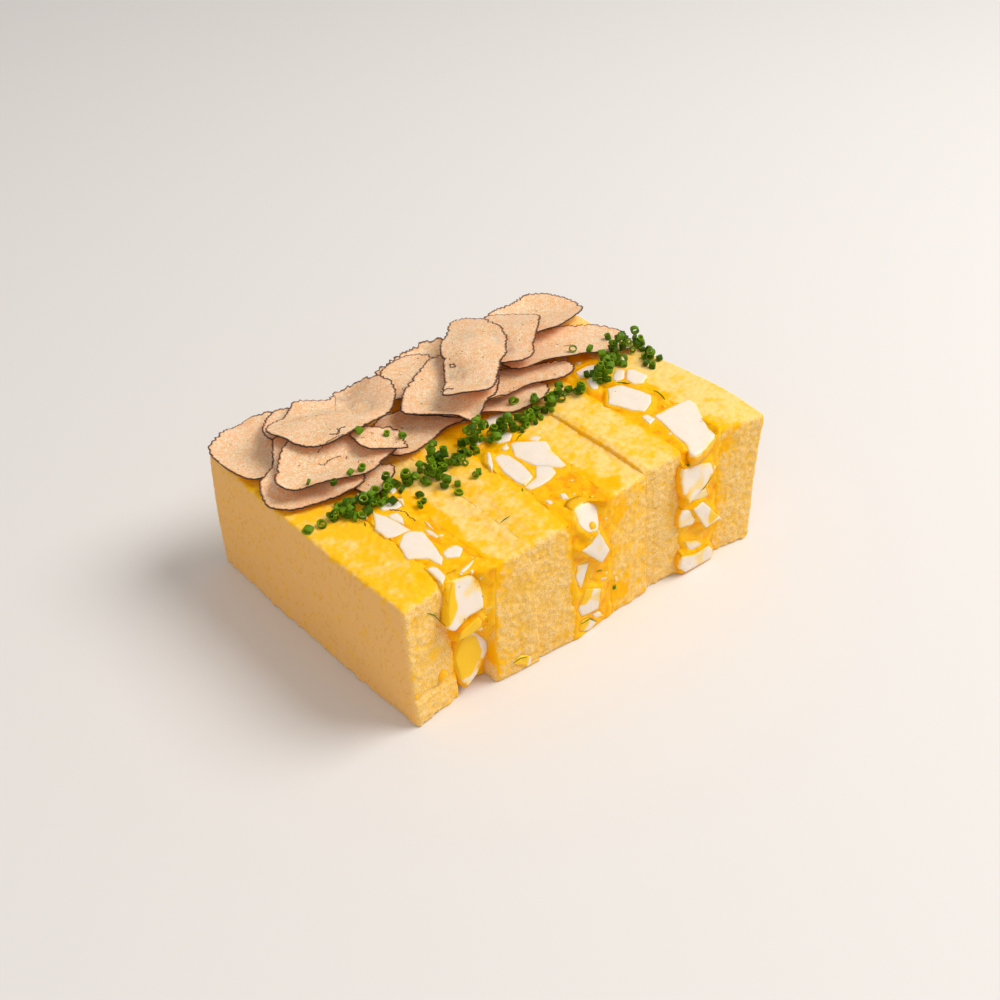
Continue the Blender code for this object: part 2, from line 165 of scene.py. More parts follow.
# Cut egg that shows on top: the height of its face, and its outline in x and y
WHITE, YOLK, MIXED = "white", "yolk", "mixed"
EGG_SLOTS = {WHITE: "egg_white", YOLK: "egg_salad"}
TOP_EGGS = {
    "filling_1": (
        (44.1, ((-50.5, -8.5), (-48.5, -13.5), (-47, -23), (-52.5, -22.5), (-55, -21), (-54.5, -15.5))),
        (44.2, ((-54, -26), (-50.5, -23), (-47.5, -23), (-45, -25.5), (-46, -31), (-48, -38.5),
                (-50.5, -41), (-51.5, -36), (-56, -32.5))),
        (43.8, ((-48, -12.5), (-45, -13), (-45, -16), (-47, -19.5), (-48.5, -14.5))),
        (44.0, ((-47.5, -7.5), (-44.5, -7), (-41.5, -9.5), (-42, -12), (-44.5, -12), (-48, -10))),
        (43.9, ((-41.5, -8), (-39.5, -9), (-42, -13))),
        (44.0, ((-47, -36.5), (-44, -35.5), (-41.5, -36), (-41, -38.5), (-44, -41), (-47.5, -39))),
        (44.0, ((-54.5, -39), (-52.5, -39), (-51.5, -40.5), (-52, -45), (-55, -47), (-54.5, -43))),
        (43.7, ((-41.5, -21.5), (-41, -23.5), (-42, -26.5), (-42.3, -24))),
        (43.8, ((-44, -24.5), (-42.5, -26.5), (-42.5, -30), (-44, -30), (-44.5, -27.5))),
        (43.7, ((-55.5, -9), (-53, -7), (-52, -8.5), (-53, -10))),
        (43.9, ((-51, 0), (-48, 0), (-46.5, -2), (-48, -5), (-50.5, -3.5))),
        (43.7, ((-41, -2), (-38, -3), (-38.5, -5), (-41, -5.5))),
        (44.0, ((-48.5, -46), (-46, -45), (-42, -44.5), (-44.5, -46.2), (-47.5, -47))),
    ),
    "filling_2": (
        (46.5, ((0, -10.5), (2, -11.5), (8.5, -17.5), (6.5, -23), (5, -31), (2.5, -30.5), (-2, -24),
                (-3.5, -16.5))),
        (45.8, ((-8.5, -12.5), (-5.5, -12.5), (-4, -15.5), (-4, -20.5), (-5.5, -28), (-10.5, -29.5),
                (-11, -25), (-10.5, -19.5))),
        (45.9, ((-2, -24.5), (0.5, -26.5), (1.5, -28.5), (0.5, -31.5), (-4, -32.5), (-10.5, -32),
                (-11, -29.5), (-5.5, -28.5))),
        (46.1, ((-8.5, -9.5), (-7.5, -10.5), (-11, -16), (-13, -17.5), (-12, -14))),
        (46.1, ((-4, -10.5), (-0.5, -9.5), (-1.5, -12.5), (-3.5, -12.5))),
        (46.1, ((5.5, -12), (8.5, -12), (10, -14.5), (7, -15.5))),
        (46.2, ((-3, -4), (-0.5, -2.5), (3, -4.5), (4, -7.5), (1, -9.5), (-2.5, -8))),
        (46.2, ((-0.5, 3.5), (5.5, 5.5), (9.5, 3), (7.5, 1), (2, 0.5))),
        (46.0, ((-7.5, -2.5), (-4, -2), (-4.5, -4.5), (-8, -4.5))),
        (45.9, ((-11, -38.5), (-9.5, -39.5), (-9.5, -41.5), (-11.5, -41))),
        (45.9, ((-5.5, -39), (-4, -40), (-5, -43), (-7, -41.5))),
    ),
    "filling_3": (
        (49.3, ((38.5, -13.5), (41, -10.5), (45.5, -12), (47.5, -19), (48, -23.5), (45.5, -26),
                (40.5, -28), (38, -24), (35.5, -16.5))),
        (48.8, ((38, -28.5), (40.5, -29), (40.5, -33), (37, -33.5))),
        (49.8, ((53, -7), (55, -8.5), (55.5, -14.5), (51, -16.5), (48.5, -14.5), (49, -11))),
        (49.6, ((46, -7.5), (50.5, -4.5), (52.5, -7), (49, -10.5), (46, -9.5))),
        (49.4, ((53.5, 1), (57.5, 1), (58, -2), (53.5, -4))),
        (49.5, ((40, 3.5), (44.5, 3.5), (48, 2), (46, -1), (39, -0.5))),
        (49.4, ((39, -2.5), (42, -2.5), (42.5, -6), (38.5, -9), (37, -7.5))),
        (48.7, ((41, -31.5), (48.5, -32), (55, -33), (55, -36.5), (51.5, -42.5), (49, -47),
                (48.5, -50.5), (41.5, -53), (36.5, -53), (36, -51.5), (38.5, -47), (39, -42))),
    ),
}
TOP_LEANS = {"filling_1": (0.0, 0.0), "filling_2": (0.10, 0.0), "filling_3": (0.10, 0.0)}   # in x and y
CORNER_LEAN = (0.08, 0.07)                # of the last piece of the last filling

# Cut egg that shows at the front end: what it is, the distance of its face from the middle of the block,
# how that grows with height, its outline in x and z, and the middle and reach of its yolk
FRONT_EGGS = {
    "filling_1": (
        (MIXED, 49.7, -0.30, ((-52, 43.5), (-45.5, 42.5), (-43.5, 40.5), (-43, 37), (-43.5, 32.5),
                              (-44, 31.5), (-49, 31.5), (-54.5, 29.5), (-56.5, 31), (-55.5, 35),
                              (-54, 39.5)), (-65.7, 41.6, 14.0)),
        (YOLK, 50.8, 0.0, ((-52, 27), (-45.5, 29.5), (-44, 26.5), (-45, 24.5), (-50, 24), (-53, 24.5)),
         None),
        (MIXED, 47.7, -0.12, ((-50, 18), (-47, 21), (-44.5, 21), (-40, 14), (-40, 11.5), (-45, 5),
                              (-49, 2.5), (-50.5, 5), (-52, 14.5)), (-50.5, 13.5, 7.6)),
        (MIXED, 52.4, 0.0, ((-34, 5), (-32, 6), (-29, 5.5), (-27, 3.5), (-27.5, 1), (-29, 0.5),
                            (-31, 2.5)), (-31.8, 4.5, 3.9)),
        (YOLK, 49.3, 0.0, ((-59, 12.5), (-57.5, 14), (-56, 13.8), (-55.6, 12), (-57, 10.6),
                           (-58.6, 11)), None),
    ),
    "filling_2": (
        (YOLK, 52.6, 0.0, ((-5.3, 41), (-4.1, 41.6), (-2.9, 40.8), (-3, 39.4), (-4.2, 39),
                           (-5.3, 39.7)), None),
        (YOLK, 53.3, 0.0, ((-6.8, 38.4), (-5.5, 39.2), (-4.2, 38.4), (-4.4, 36.9), (-5.7, 36.4),
                           (-6.8, 37.2)), None),
        (WHITE, 53.6, 0.0, ((-3, 39.5), (2, 29.5), (-1, 26), (-9.5, 35), (-5.5, 36)), None),
        (WHITE, 50.2, -0.8, ((-8, 45.8), (-5.5, 46.2), (-2, 45.8), (0, 44.5), (-1.5, 40.5), (-3, 39),
                             (-6.5, 39.5), (-8.3, 42)), None),
        (WHITE, 51.8, 0.0, ((-9.5, 28.5), (-4.5, 27.5), (-7, 19), (-8, 18.5), (-10, 24.5)), None),
        (YOLK, 51.3, 0.0, ((-4.5, 19), (-2.5, 19), (2, 13.5), (-2.5, 16)), None),
        (MIXED, 52.6, 0.0, ((-6.5, 18.5), (0.5, 15), (-0.5, 7), (-7.5, 8), (-9, 11.5), (-7.5, 15)),
         (-7, 16.5, 3.6)),
        (WHITE, 51.8, 0.0, ((-3, 6), (1, 5), (3, 2), (-0.5, 2)), None),
        (WHITE, 51.6, 0.0, ((7, 12.8), (7.4, 14.6), (8.3, 14.3), (8.3, 12.8)), None),
        (MIXED, 52.4, 0.0, ((-8.5, 2.5), (-7.5, 6), (-4, 5.5), (-0.5, 2), (-3, 0.2), (-5.5, 0.6)),
         (-6, 5, 2.4)),
    ),
    "filling_3": (
        (MIXED, 52.8, -0.12, ((32.5, 39.5), (33.5, 43), (40.5, 42), (45.5, 40.5), (47, 36), (43, 33),
                              (35.5, 29.5), (33, 34.5)), (46, 34, 2.2)),
        (WHITE, 52.3, 0.0, ((38, 29), (40.5, 31.5), (45, 31), (46, 27.5), (42, 27.5)), None),
        (WHITE, 52.5, 0.0, ((33, 24), (34, 27.5), (38, 26), (41, 20.5), (39.5, 19), (33.5, 20.5)),
         None),
        (MIXED, 53.2, 0.0, ((38.5, 26), (43, 27), (53, 15.5), (45.5, 15), (40.5, 22.5)),
         (49, 19.5, 3.2)),
        (WHITE, 52.2, 0.0, ((36.5, 14), (44.5, 10.5), (46, 7.5), (40, 7.5)), None),
        (MIXED, 53.3, 0.0, ((35, 9), (43.5, 6.5), (48, 7), (50.5, 3.5), (50, 0.5), (37.5, 1), (35, 4)),
         (41.5, 10, 4.0)),
    ),
}
# Outwards from the bottom of a piece to its face: how far inside its outline, and how far below the face
EGG_EDGE = ((0.3, 4.0), (-0.25, 3.8), (-0.35, 2.0), (-0.18, 1.0), (-0.02, 0.52), (0.15, 0.24), (0.38, 0.07),
            (0.68, 0.0))
EGG_CELL = 0.4
EGG_FILL = 0.9                            # between the points inside its face
EGG_CORNER = 0.5                          # how far its corners are softened
BACK_EGGS = 7                             # in each filling, at the back end
COVERED_EGGS = 6                          # and on top, under the truffle
EGG_BITS = 150

# Truffle
TRUFFLES = 17
SHEET_SLOPE = 0.3                         # how upright the normals of its CAD solid's upper side are
SHEET_THICKNESS = 0.34
SHEET_DROP = 0.12                         # of its upper side below the CAD's
RIM_CELL = 0.17
RIM_STEPS = (0.16, 0.42)                  # inwards, at full detail
INNER_STEP = 0.9
INNER_RINGS = 7
UNDER_RINGS = 3
FAR_SIDE = (0.63, 0.77)                   # where the rims are more jagged
# Dark cracks: the corners of each in x and y
MARKS = (
    ((-44.6, 20.4), (-44.0, 19.0), (-42.8, 18.6), (-41.8, 19.4), (-41.2, 21.0)),
    ((-44.0, 19.6), (-43.2, 18.0), (-42.2, 18.4), (-41.4, 19.6), (-40.2, 20.6), (-39.4, 19.8),
     (-38.8, 20.4)),
    ((-52.2, 15.6), (-50.2, 17.0), (-47.2, 17.4), (-44.2, 17.4), (-42.0, 16.9)),
    ((-52.2, 15.6), (-51.0, 14.6), (-49.2, 15.2), (-46.8, 15.0), (-44.8, 14.6)),
    ((5.4, 25.4), (5.0, 24.0), (5.9, 22.8), (6.3, 24.2), (5.4, 25.4)),
    ((-6.4, 14.9), (-5.4, 13.4), (-4.6, 13.9), (-3.8, 12.0), (-4.7, 11.6)),
    ((47.0, 16.4), (48.0, 15.6), (49.2, 15.6)),
    ((-13.9, 30.3), (-12.8, 29.4), (-12.2, 28.9)),
    ((-46.0, -11.0), (-44.0, -13.0), (-43.0, -14.5), (-43.5, -17.0), (-43.0, -19.5)),
)
MARK_DOTS = 4                             # on each slice
MARK_RISE = 0.02
TUBE_SIDES = 6                            # of the marks and of the dill

# Chives: the middle line of their band and how far they stray, then the loose ones
CHIVE_BAND = ((-63, -3), (-57, -4), (-51, -6), (-45, -5), (-40, -4), (-34, -4), (-28, -5), (-25, -10),
              (-25, -4), (-18, -5), (-14, -4), (-8, -3), (-3, -4), (3, -5), (8, -5), (14, -6), (20, -4),
              (27, -4), (33, -4), (38, -5), (44, -6), (48, -3), (52, -1), (58, 2), (64, 4), (68, 1),
              (66, -5), (60, -10))
CHIVE_STRAY = 1.7
CHIVES = 235
LOOSE_CHIVES = ((-69.3, -4), (-60, 9), (-54, 5), (-56, 1), (-48, 5), (-44, 5), (-37, 16), (-29, 13),
                (-26, 9), (-18, -16), (-16, -15), (-38, -15), (-36, -14), (-26, -18), (-24, -15),
                (14, 4), (62, 11), (44, 9), (49, 6), (-35, -11))
CHIVE_WIDTH = (1.8, 3.0)
CHIVE_LENGTH = (0.9, 2.2)
CHIVE_WALL = 0.36
CHIVE_SIDES = 18
CHIVE_FEET = ((0, 0), (0.9, 0), (-0.9, 0), (0, 0.9), (0, -0.9))   # where a ring feels for what is below it
CHIVE_BITS = ((36, 43.5), (7.5, 10.5), (-46.5, 45))   # at the front end, in x and z

# Threads of dill: on top in x and y, then at the front end in x and z
DILL_ON_TOP = (
    ((-26.0, -37.0), (-24.5, -36.6), (-22.6, -37.0)),
    ((-54.5, -10.5), (-55.5, -12.5)),
    ((2.0, -11.0), (4.5, -9.4), (8.5, -8.5)),
    ((-11.5, -29.5), (-12.5, -31.0)),
    ((46.0, -10.0), (47.5, -11.5), (48.5, -13.5)),
    ((51.5, -21.0), (51.7, -23.0), (51.0, -26.0), (50.0, -27.5)),
)
DILL_AT_FRONT = (
    ((-61.0, 37.5), (-58.5, 35.2), (-56.5, 31.6)),
    ((-34.0, 5.5), (-31.5, 5.8), (-29.0, 5.0)),
    ((-7.5, 5.2), (-4.0, 5.2), (-0.8, 2.0)),
    ((40.5, 31.5), (44.0, 32.8), (46.5, 35.0)),
    ((-0.8, 21.4), (1.5, 20.6)),
)
DILL_RADIUS = 0.17
SPECKS = 34
FRONT_SPECKS = ((16.5, 40), (25, 31), (47.5, 29), (42, 27))
FAR = 80.0                                # from where things are dropped or pushed on

# A number for each stream of random draws
STREAMS = {name: number for number, name in enumerate(SLICES)}
STREAMS.update(hidden_eggs=60, egg_bits=61, marks=80, chives=90, pepper=95)

# Colours, as linear red, green and blue
CRUMB = (0.90, 0.59, 0.185)
CRUMB_PALE = (0.95, 0.68, 0.37)
# The crumb's deeper grain tone, which is also painted into its pores and recesses as shade
CRUMB_DEEP = (0.86, 0.45, 0.004)
# Painted light: a lighter copy of the crumb for the sides that face up
CRUMB_TOP_LIT = (0.99, 0.68, 0.22)
# The broad outer faces: their own tan, with a painted warm shade tone
CRUMB_FACE_TAN_AND_SHADE = (0.95, 0.51, 0.17)
STAINED = (1.0, 0.515, 0.004)
# Painted shade in the slits of the broad outer faces
PORE = (0.84, 0.42, 0.05)
SAUCE = (1.0, 0.475, 0.001)
# Deep orange sauce where it has soaked in thickly; in the filling it is also painted into the dips between
# the lumps as shade
SAUCE_DEEP = (0.95, 0.345, 0.001)
SAUCE_PALE = (0.99, 0.54, 0.015)
EGG_WHITE = (0.89, 0.77, 0.655)
EGG_CREAM = (0.95, 0.69, 0.28)
YOLK_COLOUR = (1.0, 0.57, 0.008)
TRUFFLE = (0.95, 0.51, 0.265)
# Pale flecks: partly the grain of the flesh, partly painted sparkle
TRUFFLE_FLECK_AND_SPARKLE = (1.0, 0.82, 0.61)
TRUFFLE_DEEP = (0.92, 0.46, 0.19)
TRUFFLE_RIM = (0.030, 0.015, 0.010)
TRUFFLE_BROWN = (0.26, 0.11, 0.04)
CHIVE = (0.115, 0.235, 0.004)
CHIVE_DARK = (0.035, 0.090, 0.001)
CHIVE_CUT = (0.27, 0.42, 0.012)
SPECK = (0.05, 0.022, 0.010)
FLOOR = (0.76, 0.735, 0.715)


# Small sums

def mix(a, b, share):
    return a + (b - a) * share


def smooth(share):
    share = np.clip(share, 0.0, 1.0)
    return share * share * (3.0 - 2.0 * share)


def ramp(value, low, high):
    """From 0 at `low` to 1 at `high`, level at both ends."""
    return smooth((value - low) / (high - low))


def unit(vectors):
    return vectors / np.maximum(np.linalg.norm(vectors, axis=-1, keepdims=True), TINY)


def seeded(stream):
    """Random draws that are the same in each run, and different for each stream."""
    return np.random.default_rng([SEED, STREAMS[stream]])


GRADIENTS = unit(np.random.default_rng(SEED).normal(size=(256, 3)))


def noise(points, size, seed=0):
    """Smooth noise, from about -1 to 1, whose bumps are about as long as `size`."""
    scaled = points / (np.array(size) * 2.0)
    cell = np.floor(scaled).astype(np.int64)
    inside = scaled - cell
    fade = inside ** 3 * (inside * (inside * 6.0 - 15.0) + 10.0)
    total = np.zeros(len(points))
    for corner in np.ndindex(2, 2, 2):
        key = np.bitwise_xor.reduce((cell + corner) * AXIS_FACTORS, axis=1) ^ seed * SEED_FACTOR
        key = (key ^ (key >> 13)) * KEY_FACTOR
        gradient = GRADIENTS[(key ^ (key >> 16)) & 255]
        weight = np.prod(np.where(corner, fade, 1.0 - fade), axis=1)
        total += weight * ((inside - corner) * gradient).sum(axis=1)
    return total * NOISE_HEIGHT


def rough(points, size, octaves, seed=0):
    """Noise with finer noise on top of it."""
    size = np.array(size, float)
    return sum(noise(points, size / 2 ** step, seed + step) / 2 ** step for step in range(octaves))


# Outlines

def off_outline(places, outline):
    """How far each place is from a closed outline, as less than 0 inside it."""
    start = np.array(outline, float)
    end = np.roll(start, -1, axis=0)
    side = end - start
    away = places[:, None] - start
    share = np.clip((away * side).sum(axis=2) / (side ** 2).sum(axis=1), 0.0, 1.0)
    distance = np.linalg.norm(away - share[..., None] * side, axis=2).min(axis=1)
    level = places[:, 1:2]
    crossed = (start[:, 1] > level) != (end[:, 1] > level)
    meets = start[:, 0] + (level - start[:, 1]) / np.where(side[:, 1] == 0, 1.0, side[:, 1]) * side[:, 0]
    inside = (crossed & (places[:, :1] < meets)).sum(axis=1) % 2 == 1
    return np.where(inside, -distance, distance)


def outward_of(outline):
    """The direction away from each point of an outline that turns to the left."""
    along = np.roll(outline, -1, axis=0) - np.roll(outline, 1, axis=0)
    return unit(np.stack([along[:, 1], -along[:, 0]], axis=1))


def walk(path):
    """How far along a path each of its points is."""
    return np.append(0.0, np.cumsum(np.linalg.norm(np.diff(path, axis=0), axis=1)))


def spread(corners, count):
    """Places at even steps along the line through some corners."""
    corners = np.array(corners, float)
    stops = np.linspace(0, len(corners) - 1, count)
    return np.stack([np.interp(stops, np.arange(len(corners)), column) for column in corners.T], axis=1)


def soft_outline(outline, corner, cell):
    """Evenly spaced places round an outline with softened corners, turning to the left."""
    path = np.concatenate([outline, outline[:1]])
    turning = (path[:-1, 0] * path[1:, 1] - path[1:, 0] * path[:-1, 1]).sum()
    path = path if turning > 0 else path[::-1]
    walked = walk(path)
    count = max(24, int(walked[-1] / cell))
    stops = np.linspace(0.0, walked[-1], count, endpoint=False)
    waves = np.fft.fft(np.interp(stops, walked, path[:, 0]) + 1j * np.interp(stops, walked, path[:, 1]))
    turns = np.fft.fftfreq(count) * count
    curve = np.fft.ifft(waves * np.exp(-0.5 * (math.tau * turns * corner / walked[-1]) ** 2))
    return np.stack([curve.real, curve.imag], axis=1)


def closed_curve(points, count):
    """Places on the smooth closed curve through evenly spaced points."""
    waves = np.fft.fft(points[:, 0] + 1j * points[:, 1])
    half = len(points) // 2
    padded = np.zeros(count, complex)
    padded[:half], padded[-half:] = waves[:half], waves[-half:]
    curve = np.fft.ifft(padded) * count / len(points)
    return np.stack([curve.real, curve.imag], axis=1)


def room_inside(rim, outward, wanted):
    """How far each point of an outline can move inwards, up to `wanted`, before it nears another side."""
    room = np.full(len(rim), wanted)
    for step in np.linspace(wanted, wanted / 8, 8):
        clear = -off_outline(rim - outward * step, rim)
        room = np.where((clear < 0.85 * step) & (room >= step), step - wanted / 8, room)
    for _ in range(6):
        room = np.minimum(room, (np.roll(room, 1) + np.roll(room, -1)) / 2 + 0.03)
    return np.maximum(room, 0.02)


def fill(ring, spacing):
    """Even places inside an outline, and triangles over it: numbers below its length are its own points."""
    low, high = ring.min(axis=0), ring.max(axis=0)
    x, y = np.meshgrid(np.arange(low[0], high[0], spacing), np.arange(low[1], high[1], spacing))
    x[::2] += spacing / 2
    inner = np.stack([x.ravel(), y.ravel()], axis=1)
    inner = inner[off_outline(inner, ring) < -0.45 * spacing]
    places = np.concatenate([ring, inner])
    loop = list(range(len(ring)))
    corners = [Vector(place) for place in places]
    made, _, faces, sources, _, _ = delaunay_2d_cdt(corners, [], [loop], 1, 1e-6)
    numbers = {}
    for new, olds in enumerate(sources):
        if not olds:
            olds = [len(places)]
            places = np.concatenate([places, [made[new]]])
        numbers[new] = olds[0]
    return places[len(ring):], [tuple(numbers[corner] for corner in face) for face in faces]


# Meshes

def add_object(name, data):
    thing = bpy.data.objects.new(name, data)
    bpy.context.scene.collection.objects.link(thing)
    return thing


def add_piece(name, points, faces, look, slot, replaces=(), **values):
    """Makes a piece from points in millimetres, kept inside the CAD's box, with a value for each point."""
    low, high = np.array(cad_box[0]), np.array(cad_box[1])
    mesh = bpy.data.meshes.new(name)
    mesh.from_pydata(np.clip((points + MIDDLE) * MM, low, high).tolist(), [], faces)
    for value_name, numbers in values.items():
        layer = mesh.attributes.new(value_name, "FLOAT", "POINT")
        layer.data.foreach_set("value", np.asarray(numbers, np.float32))
    mesh.materials.append(look)
    mesh.shade_smooth()
    piece = add_object(name, mesh)
    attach(piece, "root")
    if replaces:
        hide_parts(*replaces)
    return piece


def add_parts(name, parts, look, slot, **values):
    """Makes one piece of many small meshes. A value is one number for all, or a list for each of them."""
    points, faces = join(parts)
    values = {key: np.concatenate(value) if isinstance(value, list) else np.full(len(points), value)
              for key, value in values.items()}
    return add_piece(name, points, faces, look, slot, **values)


def join(parts):
    """Many small meshes as one list of points and one of faces."""
    faces, start = [], 0
    for points, part_faces in parts:
        faces += [tuple(start + corner for corner in face) for face in part_faces]
        start += len(points)
    return np.concatenate([points for points, _ in parts]), faces


def point_normals(points, quads):
    normals = np.zeros_like(points)
    across = np.cross(points[quads[:, 2]] - points[quads[:, 0]], points[quads[:, 3]] - points[quads[:, 1]])
    for corner in range(4):
        for axis in range(3):
            normals[:, axis] += np.bincount(quads[:, corner], across[:, axis], len(points))
    return unit(normals)


def box_lattice(counts, hidden):
    """Places, as shares, and quads on the six sides of a box.

    The middle of a hidden side is one face. `hidden` gives the cells that are kept along its edges.
    """
    counts = np.array(counts)
    rings, quads = [], []
    for axis in range(3):
        across, along = (axis + 1) % 3, (axis + 2) % 3
        row, column = np.indices((counts[across] + 1, counts[along] + 1))
        for end in (0, 1):
            place = np.zeros(row.shape + (3,), int)
            place[..., axis], place[..., across], place[..., along] = end * counts[axis], row, column
            ids = np.ravel_multi_index(np.moveaxis(place, -1, 0), counts + 1)
            cells = np.stack([ids[:-1, :-1], ids[1:, :-1], ids[1:, 1:], ids[:-1, 1:]], axis=-1)
            shown = np.ones(cells.shape[:2], bool)
            if (axis, end) in hidden:
                low = hidden[axis, end]
                right, top = counts[across] - low, counts[along] - low
                shown[low:right, low:top] = False
                ring = [*ids[low:right, low], *ids[right, low:top], *ids[right:low:-1, top],
                        *ids[low, top:low:-1]]
                rings.append(ring if end else ring[::-1])
            cells = cells[shown]
            quads.append(cells if end else cells[:, ::-1])
    quads = np.concatenate(quads)
    used, numbers = np.unique(quads, return_inverse=True)
    shares = np.stack(np.unravel_index(used, counts + 1), axis=1) / counts
    return shares, numbers.reshape(quads.shape), [np.searchsorted(used, ring).tolist() for ring in rings]


def round_edges(shares, size, low_radii, high_radii):
    """Rounds the edges of a box whose points are given as shares of its sides."""
    points = shares * size
    radii = np.where(points < size / 2, low_radii, high_radii)
    inner = np.clip(points, low_radii, size - high_radii)
    out = (points - inner) / radii
    reach = np.maximum(np.linalg.norm(out, axis=1, keepdims=True), TINY)
    out = np.where(reach > 0.5, out / reach, out)
    return (inner + out * radii) / size


def band_faces(outer, inner, count):
    """Quads between two rings of equally many points, from the numbers of their first points."""
    here = np.arange(count)
    after = (here + 1) % count
    return np.stack([outer + here, outer + after, inner + after, inner + here], axis=1).tolist()


def tower_faces(rings, count):
    """Quads over a number of rings that follow each other."""
    starts = [ring * count for ring in range(rings)]
    return [face for below, above in zip(starts, starts[1:]) for face in band_faces(below, above, count)]


def fan_faces(ring, middle, count):
    """Triangles between a ring and one point."""
    here = np.arange(count)
    return np.stack([ring + here, ring + (here + 1) % count, np.full(count, middle)], axis=1).tolist()


def coarser_faces(outer, inner, count):
    """Triangles from a ring to one with a quarter as many points."""
    here = np.arange(count // 4)
    wide = [outer + (4 * here + step) % count for step in range(5)]
    near, after = inner + here, inner + (here + 1) % len(here)
    corners = ((wide[0], wide[1], near), (wide[1], wide[2], near), (wide[2], after, near),
               (wide[2], wide[3], after), (wide[3], wide[4], after))
    return [face for triangle in corners for face in np.stack(triangle, axis=1).tolist()]


def tube(path, radii, flat=1.0):
    """A closed tube along a path, with a radius for each of its points. A lower `flat` squashes it."""
    along = unit(np.gradient(path, axis=0))
    side = unit(np.cross(along, (0.0, 0.0, 1.0)))
    up = np.cross(side, along) * flat
    turn = np.arange(TUBE_SIDES) * math.tau / TUBE_SIDES
    rings = [place + radius * (np.outer(np.cos(turn), across) + np.outer(np.sin(turn), rise))
             for place, radius, across, rise in zip(path, radii, side, up)]
    points = np.concatenate([*rings, path[:1], path[-1:]])
    faces = tower_faces(len(path), TUBE_SIDES)
    faces += [[after, here, end] for here, after, end in fan_faces(0, len(points) - 2, TUBE_SIDES)]
    faces += fan_faces((len(path) - 1) * TUBE_SIDES, len(points) - 1, TUBE_SIDES)
    return points, faces


def ball(detail):
    """Directions and triangles of an even ball."""
    shell = bmesh.new()
    bmesh.ops.create_icosphere(shell, subdivisions=detail, radius=1.0)
    shell.verts.index_update()
    directions = np.array([vertex.co for vertex in shell.verts])
    faces = [tuple(vertex.index for vertex in face.verts) for face in shell.faces]
    shell.free()
    return directions, faces


# Reading the CAD's solids

class Solid:
    """A CAD node's points in millimetres, and where lines meet it."""

    def __init__(self, name):
        mesh = frame["nodes"][name].data
        self.points = np.array([vertex.co for vertex in mesh.vertices]) / MM - MIDDLE
        self.faces = [tuple(face.vertices) for face in mesh.polygons]
        self.normals = np.array([face.normal for face in mesh.polygons])
        self.low, self.high = self.points.min(axis=0), self.points.max(axis=0)
        self.tree = BVHTree.FromPolygons(self.points.tolist(), self.faces)


class Face:
    """One side of a slice as a smooth surface: one coordinate worked out from the two others."""

    INSET = 3.0                           # of the outermost places where it's read
    SAMPLES = 12                          # in each direction
    UPRIGHT = 0.9                         # how squarely the solid has to face there

    def __init__(self, solid, axis, end, powers):
        others = [other for other in range(3) if other != axis]
        low, high = solid.low[others], solid.high[others]
        self.middle, self.half = (low + high) / 2, (high - low) / 2
        self.powers = powers
        origin, toward = Vector((0, 0, 0)), Vector((0, 0, 0))
        origin[axis] = (solid.low[axis] - 1.0, solid.high[axis] + 1.0)[end]
        toward[axis] = (1, -1)[end]
        found = []
        for one, other in product(*np.linspace(low + self.INSET, high - self.INSET, self.SAMPLES).T):
            origin[others[0]], origin[others[1]] = one, other
            place, normal, _, _ = solid.tree.ray_cast(origin, toward)
            if place is not None and abs(normal[axis]) > self.UPRIGHT:
                found.append((one, other, place[axis]))
        *places, values = np.array(found).T
        self.weights = np.linalg.lstsq(self.basis(*places), values, rcond=None)[0]

    def basis(self, one, other):
        one = (one - self.middle[0]) / self.half[0]
        other = (other - self.middle[1]) / self.half[1]
        powers = np.ndindex(self.powers[0] + 1, self.powers[1] + 1)
        return np.stack([one ** power * other ** other_power for power, other_power in powers], axis=-1)

    def __call__(self, one, other):
        return self.basis(one, other) @ self.weights


class Form:
    """A slab that stands on the floor between four smooth sides and a top."""

    def __init__(self, low, high, left, right, front, back, top, reach=(0.0, 0.0)):
        self.low, self.high, self.reach = low, high, reach
        self.left, self.right, self.front, self.back, self.top = left, right, front, back, top

    def place(self, shares):
        """Places in the slab from shares of its sides."""
        across, along, up = shares.T
        x, y, z = mix(self.low, self.high, shares).T
        for _ in range(4):
            x = mix(self.left(y, z) - self.reach[0], self.right(y, z) + self.reach[1], across)
            y = mix(self.front(x, z), self.back(x, z), along)
            z = up * self.top(x, y)
        return np.stack([x, y, z], axis=1)

    def across(self, y, z, share):
        """How far to the right a share of the slab's thickness is."""
        return mix(float(self.left(y, z)), float(self.right(y, z)), share)


def slice_form(name):
    solid = Solid(name)
    return Form(solid.low, solid.high, Face(solid, 0, 0, (4, 2)), Face(solid, 0, 1, (4, 2)),
                Face(solid, 1, 0, (1, 2)), Face(solid, 1, 1, (1, 2)), Face(solid, 2, 1, (1, 4)),
                [SEAM_REACH * (name in SEAM_ROUND and side != WET_SIDE[name]) for side in (0, 1)])


def filling_form(one, other):
    """The space between two slices, up to the level of their tops."""

    def between(read, x, y, z):
        """Something that both slices say, blended by how far it is from one to the other."""
        start, end = one.right(y, z), other.left(y, z)
        return mix(read(one, start), read(other, end), np.clip((x - start) / (end - start), 0.0, 1.0))

    def front(x, z):
        return between(lambda form, edge: form.front(edge, z), x, one.low[1], z)

    def back(x, z):
        return between(lambda form, edge: form.back(edge, z), x, one.high[1], z)

    def top(x, y):
        return between(lambda form, edge: form.top(edge, y), x, y, one.high[2])

    low = np.array([one.high[0] - CORE_OVERLAP, one.low[1], 0.0])
    high = np.array([other.low[0] + CORE_OVERLAP, one.high[1], other.high[2]])
    return Form(low, high, one.right, other.left, front, back, top, (CORE_OVERLAP, CORE_OVERLAP))


# Materials

